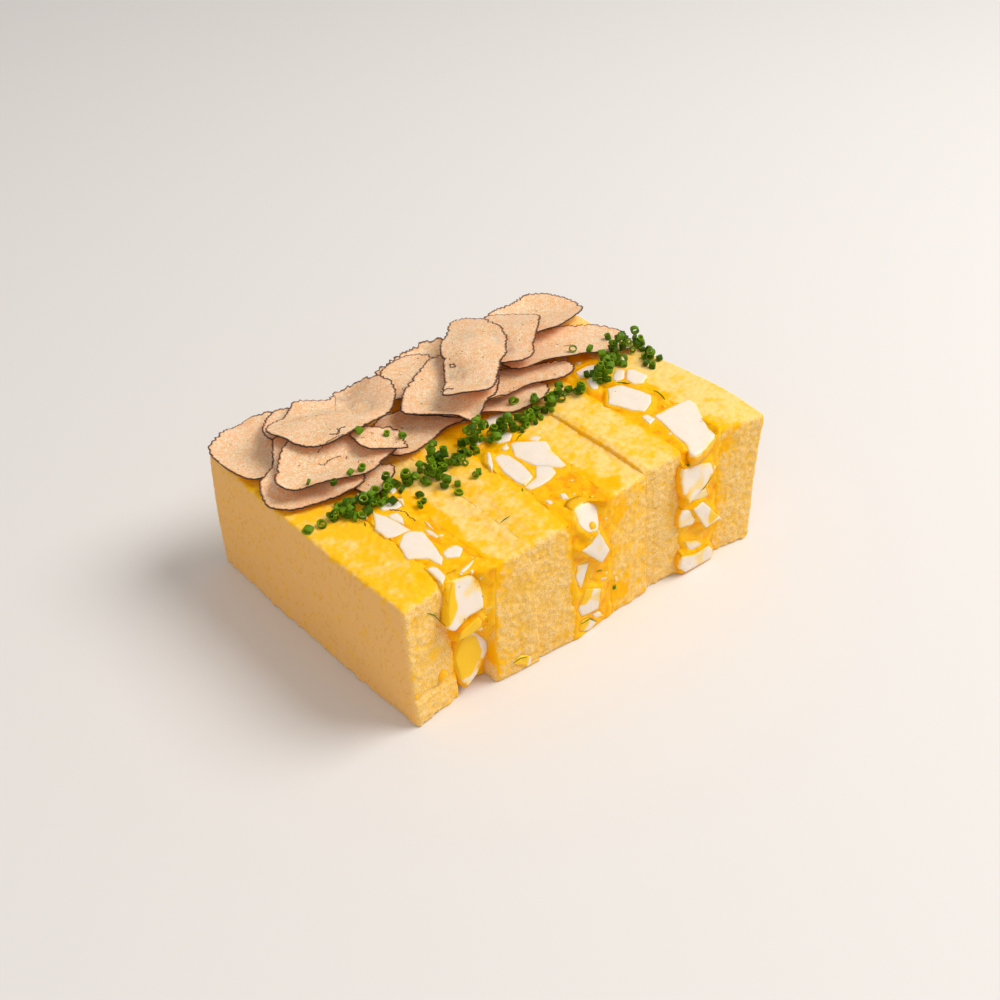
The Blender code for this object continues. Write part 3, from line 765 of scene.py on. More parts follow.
class Look:
    """A material built up from nodes around one Principled shader."""

    def __init__(self, name, colour, roughness, subsurface=0.0, depth=1.0, spread=(1.0, 0.5, 0.2),
                 specular=0.5):
        self.material = bpy.data.materials.new(name)
        self.material.use_nodes = True
        self.tree = self.material.node_tree
        self.colour = colour
        self.shader = self.tree.nodes["Principled BSDF"]
        self.shader.inputs["Roughness"].default_value = roughness
        self.shader.inputs["Subsurface Weight"].default_value = subsurface
        self.shader.inputs["Subsurface Radius"].default_value = spread
        self.shader.inputs["Subsurface Scale"].default_value = depth * MM
        self.shader.inputs["Specular IOR Level"].default_value = specular
        self.place = self.tree.nodes.new("ShaderNodeTexCoord").outputs["Object"]

    def put(self, socket, value):
        if isinstance(value, bpy.types.NodeSocket):
            self.tree.links.new(value, socket)
        elif isinstance(value, tuple):
            socket.default_value = (*value, 1.0)
        else:
            socket.default_value = value

    def noise(self, size, detail=2.0, stretch=(1.0, 1.0, 1.0), harsh=0.5):
        """Noise from 0 to 1; `stretch` makes its bumps longer along x, y or z."""
        scale = self.tree.nodes.new("ShaderNodeMapping")
        scale.inputs["Scale"].default_value = [1.0 / (size * MM * longer) for longer in stretch]
        self.put(scale.inputs["Vector"], self.place)
        made = self.tree.nodes.new("ShaderNodeTexNoise")
        made.inputs["Scale"].default_value = 1.0
        made.inputs["Detail"].default_value = detail
        made.inputs["Roughness"].default_value = harsh
        self.put(made.inputs["Vector"], scale.outputs["Vector"])
        return made.outputs[0]

    def sum(self, operation, a, b):
        made = self.tree.nodes.new("ShaderNodeMath")
        made.operation = operation
        self.put(made.inputs[0], a)
        self.put(made.inputs[1], b)
        return made.outputs[0]

    def value(self, name, times=None):
        """A value that the mesh has at each point."""
        made = self.tree.nodes.new("ShaderNodeAttribute")
        made.attribute_name = name
        return made.outputs["Fac"] if times is None else self.sum("MULTIPLY", made.outputs["Fac"], times)

    def uneven(self, value, *waves):
        """A value made uneven by noises. Each has its height, and is centred on 0 here."""
        for wave, height in waves:
            value = self.sum("ADD", value, self.sum("MULTIPLY", self.sum("SUBTRACT", wave, 0.5), height))
        return value

    def step(self, value, low, high, to_low=0.0, to_high=1.0):
        made = self.tree.nodes.new("ShaderNodeMapRange")
        made.interpolation_type = "SMOOTHSTEP"
        for socket, number in zip(("Value", "From Min", "From Max", "To Min", "To Max"),
                                  (value, low, high, to_low, to_high)):
            self.put(made.inputs[socket], number)
        return made.outputs["Result"]

    def blend(self, share, a, b):
        made = self.tree.nodes.new("ShaderNodeMix")
        made.data_type = "RGBA"
        for number, value in ((0, share), (6, a), (7, b)):
            self.put(made.inputs[number], value)
        self.colour = made.outputs[2]

    def cover(self, share, colour):
        """Lays a colour over the ones so far."""
        self.blend(share, self.colour, colour)

    def surround(self, share, colour):
        """Lays a colour where the share is low, and keeps the ones so far where it's high."""
        self.blend(share, colour, self.colour)

    def bump(self, height, reach, strength):
        made = self.tree.nodes.new("ShaderNodeBump")
        made.inputs["Distance"].default_value = reach * MM
        made.inputs["Strength"].default_value = strength
        self.put(made.inputs["Height"], height)
        self.put(self.shader.inputs["Normal"], made.outputs["Normal"])

    def finish(self, roughness=None):
        self.put(self.shader.inputs["Base Color"], self.colour)
        if roughness is not None:
            self.put(self.shader.inputs["Roughness"], roughness)
        return self.material


def bread_look():
    look = Look("milk_bread", CRUMB_DEEP, 0.9, 0.15, depth=0.8, spread=(1.0, 0.8, 0.55), specular=0.05)
    grain = look.noise(0.42, 3.0, harsh=0.6)
    patches = look.noise(5.0, 3.0)
    blotches = look.noise(2.0, 4.0, stretch=(1.3, 1.0, 1.0), harsh=0.6)
    look.cover(look.step(grain, 0.38, 0.48), CRUMB)
    look.cover(look.step(grain, 0.50, 0.59), CRUMB_PALE)
    # Painted shade: the pores and recesses of the crumb take the deeper crumb colour
    look.cover(look.value("hollow", 0.65), CRUMB_DEEP)
    # Painted light: the sides that face up are coloured lighter
    look.cover(look.value("upper", 0.70), CRUMB_TOP_LIT)
    # The broad outer faces: their own tan, with a painted warm shade tone
    look.cover(look.value("outer", 0.85), CRUMB_FACE_TAN_AND_SHADE)
    # Painted shade in the slits of the broad outer faces
    look.cover(look.value("pore"), PORE)
    wet = look.uneven(look.value("stain"), (blotches, 1.9), (patches, 1.9))
    look.cover(look.step(wet, 0.05, 1.0, 0.0, 0.95), STAINED)
    soaked = look.uneven(look.value("sauce"), (blotches, 1.1), (patches, 0.6))
    look.cover(look.step(soaked, 0.22, 0.85), SAUCE)
    look.cover(look.step(soaked, 1.05, 1.45), SAUCE_DEEP)
    look.bump(grain, 0.06, 0.8)
    return look.finish(look.step(soaked, 0.4, 1.0, 0.9, 0.42))


def sauce_look():
    look = Look("egg_sauce", SAUCE_DEEP, 0.3, 0.3, depth=1.2, spread=(1.0, 0.7, 0.3), specular=0.11)
    lumps = look.noise(2.4, 3.0)
    grain = look.noise(0.8, 3.0)
    # Raised lumps are paler and creamy with mashed egg; the dips between them are painted deeper orange as
    # shade
    clump = look.uneven(look.value("clump"), (lumps, 1.4), (grain, 0.6))
    look.cover(look.step(clump, -0.60, -0.10), SAUCE)
    look.cover(look.step(clump, 0.10, 0.60), SAUCE_PALE)
    look.cover(look.step(clump, 0.75, 1.1, 0.0, 0.7), EGG_CREAM)
    look.bump(grain, 0.2, 0.5)
    return look.finish(look.step(grain, 0.3, 0.7, 0.22, 0.42))


def egg_look(name, clean, tinted, subsurface):
    look = Look(name, clean, 0.3, subsurface, depth=1.6, spread=(1.0, 0.85, 0.65), specular=0.3)
    cloud = look.noise(2.2, 3.0)
    smear = look.uneven(look.value("smear"), (cloud, 0.9))
    look.cover(look.step(smear, 0.10, 0.80), tinted)
    look.cover(look.step(smear, 0.85, 1.25), SAUCE)
    look.cover(look.step(look.uneven(look.value("yolk"), (cloud, 0.7)), 0.25, 0.75), YOLK_COLOUR)
    look.bump(look.noise(1.2, 2.0), 0.10, 0.3)
    return look.finish(look.step(cloud, 0.3, 0.7, 0.26, 0.42))


def truffle_look():
    look = Look("truffle", TRUFFLE_DEEP, 0.5, 0.45, depth=0.9, spread=(1.0, 0.6, 0.35), specular=0.45)
    grain = look.noise(0.34, 2.0, harsh=0.7)
    flecks = look.noise(1.5, 3.0, harsh=0.65)
    cloud = look.noise(7.0, 3.0)
    look.cover(look.step(cloud, 0.35, 0.65), TRUFFLE)
    # Pale flecks over the flesh: partly its own grain, partly painted sparkle
    look.cover(look.step(look.uneven(grain, (flecks, 0.45)), 0.48, 0.62), TRUFFLE_FLECK_AND_SPARKLE)
    edge = look.uneven(look.value("rim"), (look.noise(0.9, 3.0, harsh=0.6), 1.0))
    look.surround(look.step(edge, 0.30, 0.85), TRUFFLE_BROWN)
    look.surround(look.step(edge, 0.15, 0.38), TRUFFLE_RIM)
    look.bump(grain, 0.20, 1.0)
    return look.finish(look.step(grain, 0.4, 0.65, 0.6, 0.28))


def chive_look():
    look = Look("chive", CHIVE_DARK, 0.45, 0.1, depth=0.4, spread=(0.7, 1.0, 0.2), specular=0.14)
    shade = look.uneven(look.value("shade"), (look.noise(1.5, 2.0), 1.2))
    look.cover(look.step(shade, 0.1, 0.9), CHIVE)
    look.cover(look.value("cut", 0.8), CHIVE_CUT)
    look.bump(look.noise(0.5, 2.0, stretch=(1.0, 1.0, 3.0)), 0.06, 0.5)
    return look.finish()


def speck_look(name, colour, other):
    look = Look(name, colour, 0.6)
    look.cover(look.step(look.noise(0.6, 2.0), 0.4, 0.6), other)
    return look.finish()


# Bread

def pores(points, centres, reaches, tilts):
    """How deep, from 0 to 1, each point lies in its deepest pore. A pore's long axis is near z."""
    deep = np.zeros(len(points))
    for centre, reach, tilt in zip(centres, reaches, tilts):
        away = points - centre
        near = np.nonzero((np.abs(away) < reach.max() * 1.3).all(axis=1))[0]
        away = away[near]
        away[:, 1] -= tilt * away[:, 2]
        share = 1.0 - np.linalg.norm(away / reach, axis=1)
        deep[near] = np.maximum(deep[near], smooth(share * 1.6))
    return deep


def bread_skin(name, form):
    """A slice as a box with rounded edges: its points as shares of the slice, its quads and other faces."""
    outer, wet = OUTER_SIDE.get(name), WET_SIDE[name]
    cells = CRUMB_CELL if outer is None else FACE_CELL
    wet_strip = DEEP_STRIP.get(name, HIDDEN_STRIP)
    hidden = {(0, side): wet_strip if side == wet else HIDDEN_STRIP for side in (0, 1) if side != outer}
    hidden[2, 0] = FOOT_STRIP
    size = form.high - form.low
    shares, quads, rings = box_lattice(np.round(size / cells).astype(int), hidden)
    left, right = [WET_ROUND if side == wet else SEAM_ROUND.get(name, EDGE_ROUND) for side in (0, 1)]
    shares = round_edges(shares, size, (left, EDGE_ROUND, FOOT_ROUND), (right, EDGE_ROUND, EDGE_ROUND))
    return shares, quads, rings


def bread_pores(name, form, points, shown):
    """How deep each point lies in the crumb's pores, and in the finer slits of a broad face that shows."""
    draw = seeded(name)
    places = draw.uniform(form.low, form.high, (PORES, 3))
    holes = pores(points, places, draw.uniform(0.4, 1.1, (PORES, 3)), draw.uniform(-0.2, 0.2, PORES))
    if name not in OUTER_SIDE:
        return holes, np.zeros(len(points))
    places = draw.uniform(form.low, form.high, (SLITS, 3))
    places[:, 0] = (form.left, form.right)[OUTER_SIDE[name]](places[:, 1], places[:, 2])
    reaches = [np.ones(SLITS), draw.uniform(0.3, 0.7, SLITS), draw.uniform(0.5, 1.3, SLITS)]
    return holes, shown * pores(points, places, np.stack(reaches, axis=1), draw.uniform(-0.5, 0.1, SLITS))


def smear_share(name, points):
    """How much sauce each point of a slice has soaked up from its smears."""
    share = np.zeros(len(points))
    ragged = rough(points, 3.0, 3, 40)
    for centre, reach in SMEARS[name]:
        away = np.linalg.norm((points - centre) / np.array(reach, float), axis=1)
        share = np.maximum(share, ramp(1.35 - away + 0.45 * ragged, 0.0, 1.3))
    return share


def bread_relief(name, points, facing, fine, holes, slits):
    """How far each point stands out: torn at the cut ends, softer on top and on the broad sides."""
    side, end, top = facing
    torn = 0.22 * rough(points, 2.4, 3, 1) + 0.25 * fine
    crumb = 0.26 * noise(points, 9.0, 6) + 0.15 * rough(points, (2.0, 1.1, 1.2), 3, 7) + 0.14 * fine
    plain = 0.30 * noise(points, 13.0, 11) + 0.08 * rough(points, 1.2, 2, 12)
    height = end * torn + top * crumb + side * plain - 0.36 * holes * (end + 0.5 * top) - 0.20 * slits
    foot = np.clip(1.0 - points[:, 2] / FOOT_REACH, 0.0, 1.0)
    height += foot * (0.7 * rough(points, 1.4, 2, 15) - 0.2) * (side + end)
    if name == "bread_1":
        crack = np.abs(points[:, 2] - LEDGE_HEIGHT - 1.2 * noise(points, 5.0, 20))
        ledge = 0.6 * (1.0 - ramp(crack, 0.2, 1.6)) - 0.4 * (points[:, 2] < LEDGE_HEIGHT)
        height -= (points[:, 1] < 0) * end * ledge
    return height


def make_bread(name, slices, look):
    form = slices[name]
    shares, quads, rings = bread_skin(name, form)
    points = form.place(shares)
    normals = point_normals(points, quads)
    side, end, top = normals[:, 0] ** 2, normals[:, 1] ** 2, np.clip(normals[:, 2], 0, 1) ** 2
    shown = np.zeros(len(points))
    if name in OUTER_SIDE:
        shown = np.where((normals[:, 0] < 0) == (OUTER_SIDE[name] == 0), side, 0.0)

    fine = noise(points, 0.80, 5)
    holes, slits = bread_pores(name, form, points, shown)
    # How far each point lies in a recess of the relief, painted deeper as shade
    recess_shade = ramp(-fine - 0.5 * noise(points, 2.4, 1), -0.2, 0.7) * (end + 0.5 * top)
    height = bread_relief(name, points, (side, end, top), fine, holes, slits)
    sauce = smear_share(name, points)
    height = mix(height, 0.5 * height, sauce)

    width = form.high[0] - form.low[0]
    to_sides = shares[:, 0] * width, (1.0 - shares[:, 0]) * width
    to_filling, to_seam = to_sides[WET_SIDE[name]], to_sides[1 - WET_SIDE[name]]
    on_top, at_end = SOAKED[name]
    stain = on_top * top + at_end * end + 0.04 * side + 0.75 * np.exp(-to_filling / 3.2) * (top + 0.8 * end)
    reach = 1.1 + 1.6 * rough(points, (2.5, 3.5, 3.5), 3, 44)
    sauce = np.maximum(sauce, (top + end) * ramp(reach - to_filling, -1.0, 0.9))
    if name in SEAMS:
        other, share, fade = SEAMS[name]
        step = slices[other].top(points[:, 0], points[:, 1]) - form.top(points[:, 0], points[:, 1])
        points[:, 2] += share * step * (1.0 - ramp(to_seam, 0.0, fade)) * shares[:, 2]
        high = ramp(points[:, 2], 38.0, 44.0)
        stain += 0.40 * np.exp(-to_seam / 0.7) * (0.5 * top + end) + 0.9 * (name == "bread_5") * side * high
    add_piece(f"{name}_crumb", points + normals * height[:, None], quads.tolist() + rings, look, "bread",
              # outer: the face's own tan, with a painted warm shade tone
              # pore: painted shade in the slits of the outer face
              # upper: painted light, lighter where the crumb faces up
              [name], stain=stain, sauce=sauce, pore=0.5 * slits, outer=shown, upper=top,
              # hollow: painted shade in the pores and recesses
              hollow=np.maximum(holes * end, 0.8 * recess_shade))


# Egg salad

class Egg:
    """A cut piece of egg: the plane of its face, and its outline in that plane."""

    SIDES = {"top": (2, 1), "front": (1, -1), "back": (1, 1)}   # the axis across the face, and its sign

    def __init__(self, side, outline, level, lean=(0.0, 0.0), kind=WHITE, yolk=None):
        self.axis, self.sign = self.SIDES[side]
        self.flat = [axis for axis in range(3) if axis != self.axis]
        self.outline = np.array(outline, float)
        self.centre = self.outline.mean(axis=0)
        self.level, self.lean, self.kind, self.yolk = level, lean, kind, yolk

    def face(self, places):
        """How far out the face is over places in its plane."""
        return self.level + (places - self.centre) @ self.lean

    def points(self, places, drop):
        made = np.zeros((len(places), 3))
        made[:, self.flat] = places
        made[:, self.axis] = self.sign * (self.face(places) - drop)
        return made


def cut_egg(egg, number):
    """The mesh of a piece of egg, with how smeared and how yolky each of its points is."""
    rim = soft_outline(egg.outline, EGG_CORNER, EGG_CELL)
    outward = outward_of(rim)
    wavy = np.column_stack([rim, np.full(len(rim), 9.0 * number)])
    rim = rim + outward * (0.14 * noise(wavy, 1.8, 50) + 0.05 * noise(wavy, 0.7, 52))[:, None]
    widest = EGG_EDGE[-1][0]
    room = room_inside(rim, outward, widest) / widest
    flats = [rim - outward * np.where(inset > 0.0, inset * room, inset)[:, None] for inset, _ in EGG_EDGE]
    inner, cap = fill(flats[-1], EGG_FILL)
    count, last = len(rim), (len(EGG_EDGE) - 1) * len(rim)
    insets = [np.full(count, max(inset, 0.0)) for inset, _ in EGG_EDGE]
    inset = np.concatenate([*insets, widest - off_outline(inner, flats[-1]), [0.0]])
    drops = [np.full(count, drop) for _, drop in EGG_EDGE]
    drop = np.concatenate([*drops, np.zeros(len(inner)), [EGG_EDGE[0][1]]])
    points = egg.points(np.concatenate([*flats, inner, flats[0].mean(axis=0)[None]]), drop)
    faces = tower_faces(len(EGG_EDGE), count)
    faces += [tuple(last + corner for corner in face) for face in cap]
    faces += [(here, len(points) - 1, (here + 1) % count) for here in range(count)]
    if egg.axis == 1 and egg.sign > 0:
        faces = [face[::-1] for face in faces]
    shift = points + 11.0 * number
    relief = (0.16 * noise(shift, 3.2, 53) + 0.05 * noise(shift, 1.1, 54)) * ramp(inset, 0.0, 1.5)
    points[:, egg.axis] += egg.sign * relief
    smear = 0.5 * ramp(drop, 0.1, 0.8) + 0.65 * ramp(drop, 0.8, 2.2) + 0.40 * np.exp(-inset / 0.6)
    smear += (0.12, 1.0)[egg.axis == 1] * ramp(noise(shift, 3.0, 57), 0.0, 0.65)
    smear += 0.6 * np.exp(-inset / 0.6) * ramp(noise(shift, 1.8, 55), -0.35, 0.5)
    yolk = np.zeros(len(points))
    if egg.yolk:
        away = np.linalg.norm(points[:, egg.flat] - egg.yolk[:2], axis=1)
        yolk = ramp(egg.yolk[2] - away + 1.2 * noise(points, 2.4, 56), -0.9, 0.9)
    return points, faces, smear, yolk


def shown_eggs(name):
    eggs = [Egg("top", outline, level, TOP_LEANS[name]) for level, outline in TOP_EGGS[name]]
    if name == "filling_3":
        eggs[-1].lean = CORNER_LEAN
    return eggs + [Egg("front", outline, level, (0.0, lean), kind, yolk)
                   for kind, level, lean, outline, yolk in FRONT_EGGS[name]]


def random_outline(draw, centre, reach):
    count = draw.integers(4, 7)
    turns = (np.arange(count) + draw.uniform(-0.3, 0.3, count)) * math.tau / count
    turns += draw.uniform(0, math.tau)
    radii = reach * draw.uniform(0.75, 1.1, count)
    return [(centre[0] + radius * math.cos(turn), centre[1] + radius * math.sin(turn))
            for radius, turn in zip(radii, turns)]


def hidden_eggs(form, draw):
    """Pieces like the ones that show, for the back end and under the truffle."""
    eggs = []
    for step in range(BACK_EGGS):
        z = mix(3.5, form.high[2] - 7.0, step / (BACK_EGGS - 1))
        x = form.across(END, z, draw.uniform(0.25, 0.75))
        kind = (WHITE, WHITE, MIXED, YOLK)[draw.integers(4)]
        outline = random_outline(draw, (x, z), draw.uniform(3.4, 5.4))
        yolk = (x + draw.uniform(-2, 2), z + draw.uniform(-2, 2), 2.6) if kind == MIXED else None
        level = float(form.back(x, z)) + draw.uniform(0.2, 1.2)
        eggs.append(Egg("back", outline, level, (0.0, 0.0), kind, yolk))
    for step in range(COVERED_EGGS):
        y = mix(12.0, 46.0, step / (COVERED_EGGS - 1))
        x = form.across(y, FILLING_LEVEL, draw.uniform(0.3, 0.7))
        outline = random_outline(draw, (x, y), draw.uniform(2.8, 4.2))
        eggs.append(Egg("top", outline, float(form.top(x, y)) + 0.3))
    return eggs


def settle(points, normals, eggs):
    """Draws the sauce up round each piece, just below its face, and down underneath it."""
    for egg in eggs:
        high = points[:, egg.axis] * egg.sign > egg.face(points[:, egg.flat]) - SAUCE_BELOW
        facing = np.nonzero((normals[:, egg.axis] * egg.sign > 0.3) | high)[0]
        places = points[facing][:, egg.flat]
        near = (np.abs(places - egg.centre) < np.ptp(egg.outline, axis=0) + MENISCUS).all(axis=1)
        facing, places = facing[near], places[near]
        away = off_outline(places, egg.outline)
        wanted = egg.face(places) - SAUCE_BELOW - 0.6 * ramp(-away, 0.0, 0.8)
        height = points[facing, egg.axis] * egg.sign
        reach = np.where(wanted > height, MENISCUS, NOTCH + NOTCH_SLOPE * np.maximum(height - wanted, 0.0))
        points[facing, egg.axis] = egg.sign * mix(height, wanted, 1.0 - ramp(away / reach, 0.0, 1.0))


def make_core(name, form, eggs, look):
    """The sauce of one filling: a smaller core than its CAD solid, shaped round the egg in it."""
    size = form.high - form.low
    counts = np.round(size / CORE_CELL).astype(int)
    shares, quads, rings = box_lattice(counts, dict.fromkeys(((0, 0), (0, 1), (2, 0)), CORE_STRIP))
    points = form.place(round_edges(shares, size, *CORE_ROUND))
    normals = point_normals(points, quads)
    broad, small = noise(points, 4.0, 30), rough(points, 1.6, 2, 33)
    # Follows the relief: creamy on the lumps, painted shade in the dips
    clumps = small + 0.5 * broad
    inside = 1.0 - ramp(np.minimum(shares[:, 0], 1.0 - shares[:, 0]) * size[0], 0.2, CORE_OVERLAP + 0.3)
    height = (0.35 * broad + 0.30 * small) * (1.0 - 0.4 * inside)
    height += 0.05 - 0.25 * inside
    points = points + normals * height[:, None]
    fade = TUCKS.get(name, 0.0) * (1.0 - ramp(points[:, 2], 0.0, TUCK_HEIGHT))
    points[:, 1] += fade * (1.0 - ramp(points[:, 1] - form.low[1], 0.0, TUCK_REACH))
    settle(points, normals, eggs)
    add_piece(f"{name}_sauce", points, quads.tolist() + rings, look, "egg_salad", [name],
              clump=0.7 * clumps)


def make_eggs(eggs, looks):
    made = {WHITE: [], YOLK: []}
    for number, egg in enumerate(eggs):
        made[YOLK if egg.kind == YOLK else WHITE].append(cut_egg(egg, number))
    for kind, parts in made.items():
        add_parts(f"egg_{kind}", [part[:2] for part in parts], looks[kind], EGG_SLOTS[kind],
                  smear=[part[2] for part in parts], yolk=[part[3] for part in parts])


def make_egg_bits(forms, eggs, ground, look):
    """Chips of egg white and yolk too small to cut, pressed into the sauce between the larger pieces."""
    draw = seeded("egg_bits")
    directions, triangles = ball(3)
    parts, yolk = [], []
    for number in range(EGG_BITS):
        form = list(forms.values())[number % 3]
        reach = draw.uniform(0.3, 0.95)
        share, height, y = draw.uniform(0.08, 0.92), draw.uniform(2.0, 45.0), draw.uniform(-50.0, 49.0)
        side = "top" if number % 5 < 3 else ("front", "back")[number % 2]
        axis, sign = Egg.SIDES[side]
        if side == "top":
            spot = form.across(y, FILLING_LEVEL, share), y
        else:
            spot = form.across(sign * END, height, share), height
        place = ground.meet(side, *spot)
        spots = np.array([spot])
        taken = [off_outline(spots, egg.outline)[0] for egg in eggs if (egg.axis, egg.sign) == (axis, sign)]
        if place is None or min(taken) < 0.3 * reach:
            continue
        stretch = draw.uniform(0.55, 1.3, 3) * reach
        stretch[axis] *= 0.6
        bumpy = 1.0 + 0.22 * noise(directions * 2.0 + number * 7.0, 0.8, 62)
        place[axis] -= sign * 0.45 * stretch[axis]
        parts.append((place + directions * stretch * bumpy[:, None], triangles))
        yolk.append(np.full(len(directions), float(draw.random() < 0.5)))
    add_parts("egg_bits", parts, look, "egg_white", smear=0.55, yolk=yolk)


# Truffle

class Sheet:
    """The smooth upper side of one CAD truffle slice, and its outline."""

    def __init__(self, name):
        solid = Solid(name)
        self.knots = self.corners(solid, solid.normals[:, 2] > SHEET_SLOPE)
        rim = self.corners(solid, np.abs(solid.normals[:, 2]) < SHEET_SLOPE)[:, :2]
        self.centre = rim.mean(axis=0)
        spokes = rim - self.centre
        self.rim = rim[np.argsort(np.arctan2(spokes[:, 1], spokes[:, 0]))]
        away = self.bend(self.knots[:, :2])
        plain = np.column_stack([np.ones(len(self.knots)), self.knots[:, :2]])
        sums = np.block([[away, plain], [plain.T, np.zeros((3, 3))]])
        self.weights = np.linalg.solve(sums, np.append(self.knots[:, 2], np.zeros(3)))

    @staticmethod
    def corners(solid, chosen):
        """The corners of the chosen faces, one for each place seen from above."""
        numbers = {corner for face, wanted in zip(solid.faces, chosen) if wanted for corner in face}
        points = solid.points[sorted(numbers)]
        _, first = np.unique(np.round(points[:, :2], 1), axis=0, return_index=True)
        return points[first]

    def bend(self, places):
        apart = np.linalg.norm(places[:, None] - self.knots[None, :, :2], axis=2)
        return apart ** 2 * np.log(np.maximum(apart, 1e-6))

    def height(self, places):
        plain = np.column_stack([np.ones(len(places)), places])
        return np.column_stack([self.bend(places), plain]) @ self.weights


def make_truffle(order, look):
    name = f"truffle_{order:02d}"
    sheet = Sheet(name)
    length = np.linalg.norm(np.roll(sheet.rim, -1, axis=0) - sheet.rim, axis=1).sum()
    count = 4 * int(length / RIM_CELL / 4)
    rim = closed_curve(sheet.rim, count)
    outward = outward_of(rim)

    def waves(places, size, seed):
        return noise(np.column_stack([places, np.full(len(places), 13.0 * order)]), size, seed)

    teeth = mix(0.55, 1.30, ramp(outward @ FAR_SIDE, -0.3, 0.5))
    ragged = 0.32 * waves(rim, 3.5, 70) - teeth * np.abs(waves(rim, 1.0, 71)) + 0.18 * waves(rim, 0.55, 72)
    rim = rim + outward * (ragged + 0.22)[:, None]
    layers, distances, faces = [], [], []

    def add(places, drop, distance):
        """Adds points at a drop below the upper side, and gives the number of the first one."""
        level = sheet.height(places) - SHEET_DROP + 0.14 * waves(places, 5.0, 73)
        level += 0.05 * waves(places, 1.6, 74)
        layers.append(np.column_stack([places, level - drop]))
        distances.append(np.full(len(places), distance))
        return sum(len(made) for made in layers) - len(places)

    def side(drop, steps, inner_rings, flip):
        """One side of the sheet, from its rim to its middle."""
        start, made = add(rim, drop, 0.0), []
        for step in steps:
            following = add(rim - outward * step, drop, step)
            made += band_faces(start, following, count)
            start = following
        inner = (rim - outward * INNER_STEP)[::4]
        following = add(inner, drop, INNER_STEP)
        made += coarser_faces(start, following, count)
        for share in np.linspace(1.0, 0.0, inner_rings + 1)[1:-1]:
            start = following
            places = sheet.centre + (inner - sheet.centre) * share
            following = add(places, drop, INNER_STEP + (1.0 - share) * 10.0)
            made += band_faces(start, following, len(inner))
        made += fan_faces(following, add(sheet.centre[None], drop, 12.0), len(inner))
        faces.extend([face[::-1] for face in made] if flip else made)

    side(0.0, RIM_STEPS, INNER_RINGS, False)
    below = sum(len(made) for made in layers)
    side(SHEET_THICKNESS, (), UNDER_RINGS, True)
    faces.extend(band_faces(below, 0, count))
    add_piece(f"{name}_slice", np.concatenate(layers), faces, look, "truffle", [name],
              rim=np.concatenate(distances))


def make_marks(ground, look):
    """Dark cracks and holes in the truffle, drawn as thin ragged strokes."""
    draw = seeded("marks")
    parts = []
    for corners in MARKS:
        line = spread(corners, 6 * len(corners))
        line += draw.normal(scale=0.10, size=line.shape)
        path = np.array([ground.meet("top", x, y) for x, y in line])
        level = np.median(path[:, 2])
        path[:, 2] = np.clip(path[:, 2], level - 1.0, level + 1.0) + MARK_RISE
        parts.append(tube(path, draw.uniform(0.08, 0.30, len(path)), flat=0.4))
    for order in range(1, TRUFFLES + 1):
        rim = Sheet(f"truffle_{order:02d}").rim
        for _ in range(MARK_DOTS):
            share = draw.uniform(0.2, 0.85)
            place = mix(rim.mean(axis=0), rim[draw.integers(len(rim))], share)
            dots = [place + draw.normal(scale=0.3, size=2) for _ in range(3)]
            path = np.array([ground.meet("top", *dot) for dot in dots])
            if np.ptp(path[:, 2]) < 0.6:
                parts.append(tube(path + (0, 0, MARK_RISE), draw.uniform(0.06, 0.17, 3), flat=0.45))
    add_parts("truffle_marks", parts, look, "truffle")


# Herbs and specks

class Ground:
    """Everything made so far, as something to drop things on or press them against."""

    def __init__(self):
        points, faces = join([
            (np.array([vertex.co for vertex in piece.data.vertices]) / MM - MIDDLE,
             [tuple(face.vertices) for face in piece.data.polygons])
            for piece in bpy.data.objects if piece.type == "MESH" and not piece.get("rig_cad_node")
        ])
        self.tree = BVHTree.FromPolygons(points.tolist(), faces)

    def meet(self, side, first, second):
        """The first place met on a line from one side, or None. It has both coordinates across the line."""
        axis, sign = Egg.SIDES[side]
        origin = Vector(np.insert((first, second), axis, sign * FAR))
        toward = Vector((0, 0, 0))
        toward[axis] = -sign
        place = self.tree.ray_cast(origin, toward)[0]
        return None if place is None else np.array(place)


def chive_ring(draw):
    """A short piece of hollow stalk, a little flattened, with its axis along z."""
    width, length = draw.uniform(*CHIVE_WIDTH), draw.uniform(*CHIVE_LENGTH)
    turn = np.arange(CHIVE_SIDES) * math.tau / CHIVE_SIDES
    outline = np.stack([np.cos(turn), np.sin(turn) * draw.uniform(0.65, 1.0)], axis=1)
    outer, inner = width / 2, max(width / 2 - CHIVE_WALL, 0.3)
    slant = draw.uniform(-0.25, 0.25)
    # Each loop's radius, its height as a share of the length, and how cut it looks
    loops = ((outer, -0.5, 0.0), (outer * 1.03, 0.0, 0.0), (outer, 0.5, 0.1), (inner, 0.48, 1.0),
             (inner, -0.48, 0.8))
    points = [np.column_stack([outline * radius, length * up + slant * outline[:, 0] * radius * (up > 0)])
              for radius, up, _ in loops]
    faces = []
    for loop in range(len(loops)):
        faces += band_faces(loop * CHIVE_SIDES, (loop + 1) % len(loops) * CHIVE_SIDES, CHIVE_SIDES)
    return np.concatenate(points), faces, np.repeat([cut for _, _, cut in loops], CHIVE_SIDES), width


